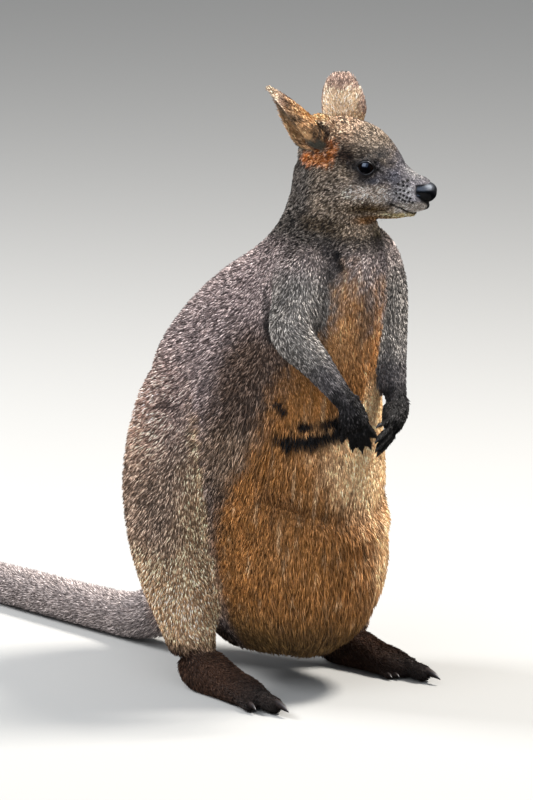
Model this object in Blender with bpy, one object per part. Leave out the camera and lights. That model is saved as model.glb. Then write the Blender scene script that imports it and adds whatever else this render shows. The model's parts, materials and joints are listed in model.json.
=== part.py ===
"""A swamp wallaby standing upright on its hind feet and tail, at life size, as a still museum model.

Metres, +Z up. The animal faces -Y and its own left side is +X. The solids are the outer shape of the coated
body, out to the tips of the fur. The flesh is modelled whole from lofted limbs, then parted with thin cuts.
"""

import math

import bmesh
import bpy
from mathutils import Matrix, Vector

# ---- driving dimensions, in metres ----
GAP = 0.0006  # the width of the cuts that part the flesh
FIT = 0.0004  # the clearance round an eye, an ear or a claw
CORE_VOXEL = 0.0045  # grain of the first union, of the trunk, limbs and tail
FINE_VOXEL = 0.003  # grain of the second union, with hands, feet and face
FLESH_TRIANGLES = 4150
CORE_SMOOTHING = 14
FINE_SMOOTHING = 3
RING_STEP = 0.009  # distance between a loft's rings
RING_SIDES = 28

ATLAS = Vector((0.0, -0.112, 0.585))  # where the head turns on the neck
HEAD_YAW = math.radians(38)  # the head looks to the animal's left
HEAD_PITCH = math.radians(3)  # nose below the level
EYE_RADIUS = 0.0098
EYE_PLACE = (0.0470, 0.0292, 0.0060)  # forward, sideways and up from the atlas
SHOULDER = Vector((0.047, -0.124, 0.478))
FINGER_CLAW = 0.0085  # length
TAIL_END_Y = 0.760
FOOTPRINT_MIDDLE = Vector((0.003, 0.271, 0.0))  # between the fore claws and the tail tip, which is the origin

SIDES = {"L": 1.0, "R": -1.0}  # where each side lies along X
UP = Vector((0.0, 0.0, 1.0))


# ---- materials ----
def material(name, colour, roughness=0.85):
    """A plain coat or horn finish."""
    made = bpy.data.materials.new(name)
    made.use_nodes = True
    shader = made.node_tree.nodes["Principled BSDF"]
    shader.inputs["Base Color"].default_value = (*colour, 1.0)
    shader.inputs["Roughness"].default_value = roughness
    shader.inputs["Metallic"].default_value = 0.0
    return made


# ---- tools for making shapes ----
def clear_scene():
    for thing in list(bpy.data.objects):
        bpy.data.objects.remove(thing)


def add_object(name, mesh):
    made = bpy.data.objects.new(name, mesh)
    bpy.context.scene.collection.objects.link(made)
    return made


def mesh_from(bm, name):
    """Ends a bmesh as a closed mesh whose faces point out."""
    bmesh.ops.recalc_face_normals(bm, faces=bm.faces)
    mesh = bpy.data.meshes.new(name)
    bm.to_mesh(mesh)
    bm.free()
    return mesh


def smooth_rows(rows, step=RING_STEP):
    """Reads a smooth curve through rows of equal length, whose first three numbers are a place."""
    smooth = []
    for i in range(len(rows) - 1):
        before = rows[max(i - 1, 0)]
        here, after = rows[i], rows[i + 1]
        beyond = rows[min(i + 2, len(rows) - 1)]
        span = (Vector(after[:3]) - Vector(here[:3])).length
        steps = max(1, round(span / step))
        for k in range(steps):
            t = k / steps
            weights = (
                -0.5 * t + t * t - 0.5 * t**3,
                1 - 2.5 * t * t + 1.5 * t**3,
                0.5 * t + 2 * t * t - 1.5 * t**3,
                -0.5 * t * t + 0.5 * t**3,
            )
            smooth.append(
                [
                    sum(w * row[c] for w, row in zip(weights, (before, here, after, beyond)))
                    for c in range(len(here))
                ]
            )
    smooth.append(list(rows[-1]))
    return smooth


def rounded(value, power):
    return math.copysign(abs(value) ** (2 / power), value)


def loft(bm, rows, side=Vector((1, 0, 0)), power=2.0, sides=RING_SIDES, step=RING_STEP, axis=None):
    """Adds a closed tube through rows of (x, y, z, half width, half depth).

    side is the way of the half width. The rings stand across the tube, or across axis where one is given.
    """
    rows = smooth_rows(rows, step)
    centres = [Vector(row[:3]) for row in rows]
    ring, edges = [], []
    for i, row in enumerate(rows):
        along = axis or (centres[min(i + 1, len(rows) - 1)] - centres[max(i - 1, 0)]).normalized()
        across = (side - along * side.dot(along)).normalized()
        deep = along.cross(across)
        if i == 0:
            ring = bmesh.ops.create_circle(bm, segments=sides, radius=1.0)["verts"]
            edges = list({edge for vert in ring for edge in vert.link_edges})
            first_edges = edges
        else:
            grown = bmesh.ops.extrude_edge_only(bm, edges=edges)["geom"]
            follows = {}
            for edge in (e for v in ring for e in v.link_edges):
                old, new = edge.verts
                if new not in ring and old in ring:
                    follows[old] = new
                elif old not in ring and new in ring:
                    follows[new] = old
            news = {g for g in grown if isinstance(g, bmesh.types.BMVert)}
            ring = [follows[v] if follows.get(v) in news else v for v in ring]
            edges = [g for g in grown if isinstance(g, bmesh.types.BMEdge) and not set(g.verts) - news]
        for k, vert in enumerate(ring):
            turn = 2 * math.pi * k / sides
            vert.co = (
                centres[i]
                + across * rounded(math.cos(turn), power) * max(row[3], 0.001)
                + deep * rounded(math.sin(turn), power) * max(row[4], 0.001)
            )
    bmesh.ops.holes_fill(bm, edges=first_edges, sides=sides)
    bmesh.ops.holes_fill(bm, edges=edges, sides=sides)


def ball(bm, place, radii, turn=Matrix.Identity(4), sides=20):
    """Adds an egg shape."""
    size = Matrix.Diagonal((*radii, 1.0))
    bmesh.ops.create_uvsphere(
        bm,
        u_segments=sides,
        v_segments=sides * 5 // 8,
        radius=1.0,
        matrix=Matrix.Translation(place) @ turn @ size,
    )


def modified(thing, kind, **settings):
    """Adds one modifier to an object."""
    modifier = thing.modifiers.new(kind.lower(), kind)
    for name, value in settings.items():
        setattr(modifier, name, value)
    return modifier


def settle(thing):
    """Replaces an object's mesh by its shape after its modifiers."""
    graph = bpy.context.evaluated_depsgraph_get()
    mesh = bpy.data.meshes.new_from_object(thing.evaluated_get(graph))
    thing.modifiers.clear()
    thing.data = mesh
    return thing


def cut_away(thing, cutter):
    """Takes the cutter's space out of an object, and removes the cutter."""
    modified(thing, "BOOLEAN", operation="DIFFERENCE", solver="EXACT", object=cutter)
    settle(thing)
    bpy.data.objects.remove(cutter)
    return thing


def swollen(things, by):
    """A copy of several solids, each grown a little along its normals, as a cutter."""
    bm = bmesh.new()
    for thing in things:
        part = bmesh.new()
        part.from_mesh(thing.data)
        part.normal_update()
        for vert, normal in [(v, v.normal.copy()) for v in part.verts]:
            vert.co += normal * by
        grown = bpy.data.meshes.new("grown")
        part.to_mesh(grown)
        part.free()
        bm.from_mesh(grown)
    mesh = bpy.data.meshes.new("swollen")
    bm.to_mesh(mesh)
    bm.free()
    return add_object("swollen", mesh)


# ---- the head's own frame: forward, left and up from the atlas ----
def head_matrix():
    turn = Matrix.Rotation(HEAD_YAW - math.pi / 2, 4, "Z") @ Matrix.Rotation(HEAD_PITCH, 4, "Y")
    return Matrix.Translation(ATLAS) @ turn


HEAD = head_matrix()


def on_head(forward, left, up):
    return HEAD @ Vector((forward, left, up))


HEAD_FORWARD = (HEAD.to_3x3() @ Vector((1, 0, 0))).normalized()
HEAD_LEFT = (HEAD.to_3x3() @ Vector((0, 1, 0))).normalized()


def head_loft(bm, profile, power):
    """Adds a loft along the head through rows of (forward, top, bottom, half width)."""
    rows = [
        (*on_head(a, 0.0, (top + bottom) / 2), width, (top - bottom) / 2) for a, top, bottom, width in profile
    ]
    loft(bm, rows, HEAD_LEFT, power, step=0.005, axis=HEAD_FORWARD)


def head_ball(bm, place, radii, sides=20):
    """Adds an egg shape that is turned with the head."""
    ball(bm, on_head(*place), radii, HEAD.to_3x3().to_4x4(), sides)


# ---- flesh ----
TRUNK = (  # x, y, z, half width, half depth, from the pouch's base up to the throat
    (0.0, -0.022, 0.036, 0.046, 0.060),
    (0.0, -0.017, 0.066, 0.070, 0.102),
    (0.0, -0.008, 0.110, 0.087, 0.138),
    (0.0, 0.000, 0.165, 0.098, 0.158),
    (0.0, 0.000, 0.225, 0.106, 0.164),
    (0.0, -0.004, 0.290, 0.104, 0.157),
    (0.0, -0.011, 0.350, 0.091, 0.155),
    (0.0, -0.036, 0.402, 0.076, 0.141),
    (0.0, -0.069, 0.447, 0.063, 0.120),
    (0.0, -0.101, 0.486, 0.054, 0.088),
    (0.0, -0.113, 0.520, 0.046, 0.062),
    (0.0, -0.113, 0.556, 0.038, 0.045),
    (0.0, -0.108, 0.595, 0.034, 0.040),
)
TAIL = (  # x, y, z, half width, half depth, from inside the rump back to the tip
    (0.000, 0.060, 0.150, 0.048, 0.052),
    (-0.002, 0.110, 0.096, 0.042, 0.046),
    (-0.003, 0.155, 0.052, 0.034, 0.034),
    (-0.004, 0.205, 0.0285, 0.0275, 0.0280),
    (-0.005, 0.270, 0.0240, 0.0255, 0.0255),
    (-0.005, 0.360, 0.0230, 0.0245, 0.0245),
    (-0.004, 0.450, 0.0220, 0.0235, 0.0235),
    (0.003, 0.560, 0.0190, 0.0205, 0.0205),
    (0.018, 0.660, 0.0155, 0.0170, 0.0170),
    (0.036, TAIL_END_Y - 0.025, 0.0115, 0.0125, 0.0125),
    (0.043, TAIL_END_Y, 0.0085, 0.0035, 0.0035),
)


def hind_leg(side, out, forward):
    """Rows of a hind leg from the haunch down to the ankle."""
    rows = (
        (0.060, 0.050, 0.365, 0.014, 0.026),
        (0.074, 0.050, 0.325, 0.031, 0.047),
        (0.087, 0.046, 0.270, 0.041, 0.057),
        (0.096, 0.038, 0.212, 0.046, 0.060),
        (0.101, 0.029, 0.156, 0.043, 0.054),
        (0.103, 0.014, 0.108, 0.037, 0.048),
        (0.103, 0.001, 0.069, 0.0300, 0.0355),
        (0.102, -0.008, 0.036, 0.0240, 0.0280),
    )
    return [(side * (x + out), y + forward, z, w, d) for x, y, z, w, d in rows]


def arm(side, elbow, wrist):
    """Rows of a fore limb from inside the shoulder to the wrist."""
    return [
        (side * 0.040, -0.108, 0.498, 0.020, 0.032),
        (side * SHOULDER.x, SHOULDER.y, SHOULDER.z, 0.030, 0.038),
        *[
            (*p, w, d)
            for p, w, d in (
                (Vector((side * 0.058, -0.131, 0.447)), 0.027, 0.034),
                (elbow, 0.0225, 0.027),
                (elbow.lerp(wrist, 0.38), 0.0180, 0.0205),
                (elbow.lerp(wrist, 0.75), 0.0140, 0.0150),
                (wrist, 0.0125, 0.0130),
            )
        ],
    ]


ARMS = {  # elbow, wrist and the end of the middle finger
    "L": (Vector((0.058, -0.141, 0.404)), Vector((0.042, -0.178, 0.322)), Vector((0.006, -0.200, 0.288))),
    "R": (Vector((-0.080, -0.145, 0.414)), Vector((-0.048, -0.205, 0.338)), Vector((-0.037, -0.210, 0.294))),
}
LEGS = {  # how far out and forward each hind leg stands from the plan
    "L": (0.004, -0.010),
    "R": (0.000, 0.004),
}
FEET = {  # heel and toe tip on the floor, without claws
    "L": (Vector((0.098, 0.020, 0.0)), Vector((0.106, -0.158, 0.0))),
    "R": (Vector((-0.098, 0.015, 0.0)), Vector((-0.115, -0.168, 0.0))),
}


def flesh_core(bm):
    """Trunk, limbs and tail, which blend softly into each other."""
    loft(bm, TRUNK, power=2.1, axis=UP)
    loft(bm, TAIL)
    ball(bm, (0.0, -0.068, 0.158), (0.090, 0.104, 0.128))  # the pouch
    for key, side in SIDES.items():
        ball(bm, (side * 0.045, 0.045, 0.205), (0.078, 0.088, 0.120))  # half of the rump
        out, forward = LEGS[key]
        loft(bm, hind_leg(side, out, forward), power=2.1, axis=-UP)
        loft(bm, arm(side, *ARMS[key][:2]))


def face(bm):
    """The head, in its own frame: forward, top, bottom and half width of each ring."""
    head_loft(
        bm,
        (
            (-0.032, 0.026, -0.024, 0.016),
            (-0.018, 0.044, -0.046, 0.031),
            (0.005, 0.054, -0.053, 0.0370),
            (0.028, 0.0550, -0.054, 0.0385),
            (0.048, 0.0480, -0.053, 0.0350),
            (0.064, 0.0350, -0.0505, 0.0285),
            (0.076, 0.0210, -0.0460, 0.0230),
            (0.088, 0.0055, -0.0425, 0.0198),
            (0.100, -0.0035, -0.0425, 0.0182),
            (0.107, -0.0068, -0.0415, 0.0164),
            (0.112, -0.0105, -0.0395, 0.0134),
            (0.1160, -0.0150, -0.0365, 0.0096),
            (0.1185, -0.0190, -0.0310, 0.0045),
        ),
        2.25,
    )
    head_loft(  # the lower jaw
        bm,
        (
            (-0.002, -0.020, -0.044, 0.020),
            (0.014, -0.022, -0.0515, 0.0285),
            (0.036, -0.026, -0.0545, 0.0270),
            (0.058, -0.030, -0.0545, 0.0215),
            (0.078, -0.034, -0.0525, 0.0160),
            (0.089, -0.035, -0.0500, 0.0125),
            (0.0975, -0.0365, -0.0475, 0.0090),
            (0.1020, -0.0385, -0.0445, 0.0045),
        ),
        2.2,
    )
    for side in SIDES.values():
        head_ball(bm, (0.027, side * 0.0245, -0.020), (0.030, 0.017, 0.026))  # cheek
        head_ball(bm, (0.049, side * 0.0235, 0.0130), (0.016, 0.0085, 0.010))  # brow
        head_ball(bm, (0.096, side * 0.0110, -0.0270), (0.017, 0.0085, 0.0110))  # whisker pad
        head_ball(bm, (-0.002, side * 0.0260, 0.0360), (0.014, 0.012, 0.016))  # ear's root
    head_ball(bm, (-0.006, -0.0260, 0.0450), (0.018, 0.013, 0.0155))  # the turned ear's broad root


# a digit's place on its paw: sideways at the root, sideways at the tip, share of the hand's length, radius
FINGERS = (
    (-0.0095, -0.0150, 0.70, 0.0036),
    (-0.0055, -0.0080, 0.90, 0.0041),
    (0.0000, 0.0000, 1.00, 0.0043),
    (0.0055, 0.0075, 0.94, 0.0041),
    (0.0095, 0.0140, 0.76, 0.0037),
)
# a toe: name, root and tip as shares of the foot's length, root and tip sideways (outwards is +), radius, and
# its claw's length and radius
TOES = (
    ("long_toe", 0.66, 1.00, 0.001, 0.001, 0.0105, 0.024, 0.0050),
    ("outer_toe", 0.60, 0.86, 0.012, 0.0185, 0.0075, 0.016, 0.0037),
    ("combing_toe_1", 0.60, 0.80, -0.0105, -0.0145, 0.0048, 0.009, 0.0024),
    ("combing_toe_2", 0.59, 0.775, -0.0145, -0.0205, 0.0046, 0.009, 0.0024),
)


def hand_frame(key):
    """The wrist, the way the fingers point, the way across the palm and the palm's facing."""
    wrist, tip = ARMS[key][1:]
    along = (tip - wrist).normalized()
    inward = Vector((-SIDES[key] * 0.55, 0.70, 0.0))  # palms look to the belly and to each other
    facing = (inward - along * inward.dot(along)).normalized()
    return wrist, tip, along, along.cross(facing), facing


def finger_ends(key):
    """Root, knuckle and tip of each finger."""
    wrist, tip, along, across, facing = hand_frame(key)
    reach = (tip - wrist).length
    for root_side, tip_side, share, radius in FINGERS:
        root = wrist + along * reach * 0.36 + across * root_side
        end = wrist + along * reach * share + across * tip_side + facing * 0.006
        knuckle = root.lerp(end, 0.45) - facing * 0.0035
        yield root, knuckle, end, radius


def hand(bm, key):
    wrist, tip, along, across, facing = hand_frame(key)
    reach = (tip - wrist).length
    back = wrist - along * 0.012
    rows = [
        (*back, 0.0120, 0.0125),
        (*(wrist + along * reach * 0.08), 0.0125, 0.0118),
        (*(wrist + along * reach * 0.28), 0.0145, 0.0100),
        (*(wrist + along * reach * 0.46), 0.0140, 0.0080),
        (*(wrist + along * reach * 0.56), 0.0090, 0.0040),
    ]
    loft(bm, rows, across, 2.3, sides=20, step=0.004)
    for root, knuckle, end, radius in finger_ends(key):
        rows = [(*root, radius, radius), (*knuckle, radius, radius), (*end, radius * 0.75, radius * 0.75)]
        loft(bm, rows, across, sides=12, step=0.004)
        ball(bm, end, (radius * 0.8,) * 3)


def foot_frame(key):
    heel, tip = FEET[key]
    along = (tip - heel).normalized()
    outward = along.cross(Vector((0, 0, 1))) * -SIDES[key]
    return heel, (tip - heel).length, along, outward


def toe_ends(key):
    """Name, root, tip, radius and claw of each toe of a foot."""
    heel, length, along, outward = foot_frame(key)
    for name, start, stop, side_a, side_b, radius, claw, claw_radius in TOES:
        root = heel + along * length * start + outward * side_a + Vector((0, 0, radius + 0.004))
        end = heel + along * (length * stop - radius) + outward * side_b + Vector((0, 0, radius * 0.92))
        yield name, root, end, radius, claw, claw_radius


def foot(bm, key):
    heel, length, along, outward = foot_frame(key)
    rows = [
        (*(heel + along * at + Vector((0, 0, mid))), width, high)
        for at, mid, width, high in (
            (0.002, 0.013, 0.008, 0.009),
            (0.012, 0.018, 0.0165, 0.018),
            (0.032, 0.022, 0.0215, 0.026),
            (0.055, 0.020, 0.0215, 0.025),
            (0.085, 0.016, 0.0205, 0.019),
            (0.115, 0.013, 0.0215, 0.0155),
            (0.135, 0.011, 0.0175, 0.0125),
            (0.148, 0.010, 0.0100, 0.0080),
        )
    ]
    loft(bm, rows, outward, 2.4, sides=24, step=0.006)
    for _, root, end, radius, _, _ in toe_ends(key):
        rows = [(*root, radius, radius), (*end, radius * 0.92, radius * 0.92)]
        loft(bm, rows, outward, sides=14, step=0.005)
        ball(bm, end, (radius * 0.92,) * 3)


def shaped(core_thing, triangles):
    """Joins the soft core with the hands, feet and face as one surface of few triangles."""
    bm = bmesh.new()
    bm.from_mesh(core_thing.data)
    bpy.data.objects.remove(core_thing)
    face(bm)
    for key in SIDES:
        hand(bm, key)
        foot(bm, key)
    thing = add_object("flesh", mesh_from(bm, "flesh"))
    modified(thing, "REMESH", mode="VOXEL", voxel_size=FINE_VOXEL)
    modified(thing, "SMOOTH", factor=0.5, iterations=FINE_SMOOTHING)
    settle(thing)
    modified(thing, "TRIANGULATE")
    settle(thing)
    plain = thing.vertex_groups.new(name="plain")
    for vert in thing.data.vertices:
        plain.add([vert.index], plainness(vert.co), "REPLACE")
    modified(
        thing,
        "DECIMATE",
        ratio=triangles / len(thing.data.polygons),
        vertex_group="plain",
        vertex_group_factor=1.0,
    )
    settle(thing)
    thing.vertex_groups.clear()
    return thing


def plainness(place):
    """How coarse the flesh may be at a place: least on the face, hands and feet."""
    near = min(
        (place - on_head(0.055, 0.0, -0.01)).length / 0.075,
        *((place - ARMS[key][2]).length / 0.055 for key in SIDES),
        *((place - FEET[key][1]).length / 0.110 for key in SIDES),
    )
    return 0.5 + 0.5 * min(1.0, max(0.0, (near - 0.85) / 0.5))


def core():
    bm = bmesh.new()
    flesh_core(bm)
    thing = add_object("core", mesh_from(bm, "core"))
    modified(thing, "REMESH", mode="VOXEL", voxel_size=CORE_VOXEL)
    modified(thing, "SMOOTH", factor=0.5, iterations=CORE_SMOOTHING)
    return settle(thing)


# ---- parting the flesh ----
def loose_parts(thing):
    """The separate closed bodies of an object, each as an object."""
    bm = bmesh.new()
    bm.from_mesh(thing.data)
    bm.verts.ensure_lookup_table()
    group = [-1] * len(bm.verts)
    count = 0
    for start in bm.verts:
        if group[start.index] >= 0:
            continue
        group[start.index], waiting = count, [start]
        while waiting:
            vert = waiting.pop()
            for edge in vert.link_edges:
                other = edge.other_vert(vert)
                if group[other.index] < 0:
                    group[other.index] = count
                    waiting.append(other)
        count += 1
    parts = []
    for k in range(count):
        one = bm.copy()
        one.verts.ensure_lookup_table()
        others = [v for v, g in zip(one.verts, group) if g != k]
        bmesh.ops.delete(one, geom=others, context="VERTS")
        mesh = bpy.data.meshes.new("part")
        one.to_mesh(mesh)
        one.free()
        parts.append(add_object("part", mesh))
    bm.free()
    bpy.data.objects.remove(thing)
    return sorted(parts, key=lambda part: -len(part.data.vertices))


def middle(thing):
    corners = [Vector(corner) for corner in thing.bound_box]
    return (min_corner(corners) + max_corner(corners)) / 2


def min_corner(points):
    return Vector([min(p[i] for p in points) for i in range(3)])


def max_corner(points):
    return Vector([max(p[i] for p in points) for i in range(3)])


def saw(pieces, name, new_name, place, way, radius):
    """Saws the named piece in two with a thin disc. The part that way points to gets the new name."""
    bm = bmesh.new()
    bmesh.ops.create_cone(
        bm,
        cap_ends=True,
        segments=12,
        radius1=radius,
        radius2=radius,
        depth=GAP,
        matrix=Matrix.Translation(place) @ Vector(way).to_track_quat("Z", "Y").to_matrix().to_4x4(),
    )
    cutter = add_object("saw", mesh_from(bm, "saw"))
    halves = loose_parts(cut_away(pieces.pop(name), cutter))
    if len(halves) < 2:
        raise ValueError(f"the cut for {new_name} does not part {name}")
    for crumb in halves[2:]:
        bpy.data.objects.remove(crumb)
    first, second = halves[:2]
    bpy.context.view_layer.update()
    reach = [(middle(half) - Vector(place)).dot(Vector(way)) for half in (first, second)]
    far, near = (first, second) if reach[0] > reach[1] else (second, first)
    pieces[name], pieces[new_name] = near, far


def level_soles(thing):
    """Takes off what lies under the floor, which leaves small flats."""
    bm = bmesh.new()
    size = Matrix.Diagonal((1.0, 2.6, 0.2, 1.0))
    bmesh.ops.create_cube(bm, size=1.0, matrix=Matrix.Translation((0, 0.3, -0.1)) @ size)
    return cut_away(thing, add_object("floor", mesh_from(bm, "floor")))


def scoop(pieces, name, new_name, region):
    """Parts what lies in a region from the named piece, with a gap between the two."""
    modified(region, "TRIANGULATE")
    settle(region)
    whole = pieces.pop(name)
    inside = add_object(new_name, whole.data.copy())
    modified(inside, "BOOLEAN", operation="INTERSECT", solver="EXACT", object=region)
    settle(inside)
    outside = cut_away(whole, swollen([region], GAP))
    bpy.data.objects.remove(region)
    for key, thing in ((name, outside), (new_name, inside)):
        bodies = loose_parts(thing)
        for crumb in bodies[1:]:
            bpy.data.objects.remove(crumb)
        pieces[key] = bodies[0]


def arm_region(key):
    """The space of a fore limb, a little wider than its flesh."""
    elbow, wrist, tip = ARMS[key]
    shoulder = arm(SIDES[key], elbow, wrist)
    rows = [
        (*shoulder[0][:3], 0.034, 0.040),
        (*shoulder[2][:3], 0.036, 0.042),
        (*elbow, 0.031, 0.035),
        (*wrist, 0.026, 0.026),
        (*(tip + (tip - wrist) * 0.8), 0.034, 0.034),
    ]
    bm = bmesh.new()
    loft(bm, rows, sides=10, step=1.0)
    return add_object("arm_region", mesh_from(bm, "arm_region"))


def leg_region(key):
    """The space of a hind limb, from the haunch down and forward past the toes."""
    side, (out, forward) = SIDES[key], LEGS[key]
    rows = [
        [x + side * 0.012, y, z, w * 1.12 + 0.004, d * 1.15 + 0.004]
        for x, y, z, w, d in hind_leg(side, out, forward)[:-2]
    ]
    heel, tip = FEET[key]
    ahead = (tip - heel).normalized()
    rows.append([*(heel + ahead * 0.022 + UP * 0.050), 0.043, 0.052])
    for at in (0.080, 0.150, 0.240):
        rows.append([*(heel + ahead * at + UP * 0.010), 0.045, 0.045])
    bm = bmesh.new()
    loft(bm, rows, sides=12, step=1.0)
    return add_object("leg_region", mesh_from(bm, "leg_region"))


def part_flesh(flesh):
    pieces = {"belly": level_soles(flesh)}
    for key, side in SIDES.items():
        out, forward = LEGS[key]
        elbow, wrist, tip = ARMS[key]
        scoop(pieces, "belly", f"upper_arm_{key}", arm_region(key))
        saw(pieces, f"upper_arm_{key}", f"forearm_{key}", elbow, wrist - elbow + Vector((0, 0, 0.02)), 0.09)
        saw(pieces, f"forearm_{key}", f"hand_{key}", wrist, tip - wrist, 0.03)
        scoop(pieces, "belly", f"thigh_{key}", leg_region(key))
        saw(pieces, f"thigh_{key}", f"shank_{key}", (side * 0.105, 0.03, 0.148), (0, -0.25, -1), 0.12)
        saw(pieces, f"shank_{key}", f"foot_{key}", (side * 0.104, -0.01, 0.048), (0, 0.1, -1), 0.07)
    saw(pieces, "belly", "chest", (0.0, -0.020, 0.345), (0.0, 0.30, 1.0), 0.200)
    saw(pieces, "chest", "neck", (0.0, -0.110, 0.503), (0.0, -0.35, 1.0), 0.110)
    saw(pieces, "neck", "head", (0.0, -0.112, 0.544), (0.35, -0.45, 1.0), 0.085)
    saw(pieces, "belly", "tail_base", (0.0, 0.142, 0.066), (0.0, 1.0, -0.86), 0.064)
    saw(pieces, "tail_base", "tail_middle", (0.0, 0.320, 0.024), (0.0, 1.0, 0.0), 0.060)
    saw(pieces, "tail_middle", "tail_end", (0.003, 0.550, 0.020), (0.06, 1.0, 0.0), 0.060)
    return pieces


# ---- eyes, ears, nose and claws ----
def eye(key):
    forward, out, up = EYE_PLACE
    bm = bmesh.new()
    head_ball(bm, (forward, SIDES[key] * out, up), (EYE_RADIUS,) * 3, sides=14)
    return add_object(f"eye_{key}", mesh_from(bm, f"eye_{key}"))


EARS = {  # root, tip and the way the cup opens, in the head's frame
    "L": ((0.009, 0.027, 0.032), (0.003, 0.033, 0.0975), (0.10, 1.0, 0.0)),
    "R": ((-0.009, -0.027, 0.037), (-0.0625, -0.045, 0.0845), (-0.76, -0.34, -0.55)),
}
EAR_SHAPES = {  # share of the length, radius, half of the angle that the shell wraps, degrees
    "L": (
        (0.00, 0.0150, 150),
        (0.15, 0.0195, 135),
        (0.32, 0.0235, 108),
        (0.50, 0.0240, 88),
        (0.68, 0.0220, 74),
        (0.84, 0.0180, 62),
        (0.95, 0.0120, 54),
        (1.00, 0.0060, 50),
    ),
    "R": (
        (0.00, 0.0205, 125),
        (0.15, 0.0215, 118),
        (0.32, 0.0224, 102),
        (0.50, 0.0226, 86),
        (0.68, 0.0208, 74),
        (0.84, 0.0172, 62),
        (0.95, 0.0115, 54),
        (1.00, 0.0060, 50),
    ),
}
EAR_WALL = 0.0034
EAR_COLUMNS = 7


def ear(key):
    """A cupped shell that is rolled at its root and opens towards its rounded tip."""
    root, tip, opening = (Vector(v) for v in EARS[key])
    axis = (tip - root).normalized()
    opening = (opening - axis * opening.dot(axis)).normalized()
    side = axis.cross(opening)
    rows = smooth_rows([(share, 0.0, 0.0, radius, wrap) for share, radius, wrap in EAR_SHAPES[key]], step=0.16)
    bm = bmesh.new()
    grid = bmesh.ops.create_grid(bm, x_segments=len(rows) - 1, y_segments=EAR_COLUMNS, size=0.5)["verts"]
    for vert in grid:
        row = rows[round((vert.co.x + 0.5) * (len(rows) - 1))]
        share, _, _, radius, wrap = row
        turn = math.radians(wrap) * vert.co.y * 2
        place = root + (tip - root) * share - opening * 0.006 * math.sin(math.pi * share)
        place += side * radius * math.sin(turn) - opening * radius * (math.cos(turn) - 0.55) * 0.80
        vert.co = HEAD @ place
    thing = add_object(f"ear_{key}", mesh_from(bm, f"ear_{key}"))
    modified(thing, "SOLIDIFY", thickness=EAR_WALL, offset=0.0, use_even_offset=False)
    settle(thing)
    bm = bmesh.new()
    bm.from_mesh(thing.data)
    thing.data = mesh_from(bm, f"ear_{key}")
    return thing


def nose():
    """The bare pad at the muzzle's end."""
    bm = bmesh.new()
    head_ball(bm, (0.1068, 0.0, -0.0195), (0.0134, 0.0136, 0.0120), sides=14)
    return add_object("nose", mesh_from(bm, "nose"))


def claw(name, root, way, length, radius, side):
    """A curved horn spike that points along way and bends down."""
    way = way.normalized()
    rows = []
    for share, width in ((-0.35, 0.60), (0.1, 1.0), (0.6, 0.66), (1.0, 0.14)):
        drop = Vector((0, 0, -0.22 * length * max(share, 0) ** 2))
        rows.append((*(root + way * length * share + drop), radius * width * 0.8, radius * width))
    bm = bmesh.new()
    loft(bm, rows, side, sides=5, step=length)
    return add_object(name, mesh_from(bm, name))


def paw_claws(key):
    """The claws of a hand and a foot, with the piece that each one stands in."""
    across = hand_frame(key)[3]
    for k, (_, knuckle, end, radius) in enumerate(finger_ends(key), start=1):
        way = (end - knuckle).normalized()
        name = f"finger_claw_{key}_{k}"
        yield claw(name, end + way * radius * 0.4, way, FINGER_CLAW, radius * 0.62, across), "hand"
    outward = foot_frame(key)[3]
    for name, root, end, radius, length, claw_radius in toe_ends(key):
        way = Vector((end.x - root.x, end.y - root.y, 0)).normalized()
        place = end + way * radius * 0.45 + Vector((0, 0, 0.25 * radius))
        yield claw(f"{name}_claw_{key}", place, way, length, claw_radius, outward), "foot"


def carve(thing, *carriers):
    """Trims a small piece so that it stands clear of what carries it."""
    cutter = swollen(carriers, FIT)
    halves = loose_parts(cut_away(thing, cutter))
    for crumb in halves[1:]:
        bpy.data.objects.remove(crumb)
    return halves[0]


COLOURS = {
    "grey_brown_coat": (0.165, 0.130, 0.108),
    "orange_coat": (0.330, 0.155, 0.055),
    "dark_coat": (0.030, 0.024, 0.020),
    "nose_leather": (0.012, 0.012, 0.014),
    "eye_dark": (0.010, 0.006, 0.004),
    "claw_horn": (0.060, 0.040, 0.030),
}


def finish_of(name):
    if name.startswith("eye"):
        return "eye_dark"
    if "claw" in name:
        return "claw_horn"
    if name == "nose":
        return "nose_leather"
    if name.startswith(("hand", "foot")):
        return "dark_coat"
    return "orange_coat" if name == "belly" else "grey_brown_coat"


def name_piece(thing, name, finishes):
    thing.name = thing.data.name = name
    thing.data.materials.clear()
    thing.data.materials.append(finishes[finish_of(name)])
    for polygon in thing.data.polygons:
        polygon.use_smooth = name.startswith("eye")
        polygon.material_index = 0
    thing.data.transform(Matrix.Translation(-FOOTPRINT_MIDDLE))


def main():
    clear_scene()
    finishes = {name: material(name, colour) for name, colour in COLOURS.items()}
    pieces = part_flesh(shaped(core(), FLESH_TRIANGLES))
    for key in SIDES:
        pieces[f"eye_{key}"] = eye(key)
        pieces["head"] = cut_away(pieces["head"], swollen([pieces[f"eye_{key}"]], FIT))
    pieces["nose"] = carve(nose(), pieces["head"])
    for key in SIDES:
        pieces[f"ear_{key}"] = carve(ear(key), pieces["head"])
        for thing, carrier in paw_claws(key):
            name = thing.name
            pieces[name] = level_soles(carve(thing, pieces[f"{carrier}_{key}"]))
    for name, thing in pieces.items():
        name_piece(thing, name, finishes)


main()
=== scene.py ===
"""The swamp wallaby in its full coat: one skin, solid tufts of fur, eyes, nose, ears, claws and whiskers.

Metres, +Z up. The animal faces -Y and its own left side is +X. Shapes are laid out in the plan of the source
part and are moved by FOOTPRINT_MIDDLE at the end. Long tables and the markings are in millimetres.
"""

import json
import math

import bmesh
import bpy
import numpy as np
from mathutils import Matrix, Vector

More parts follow.
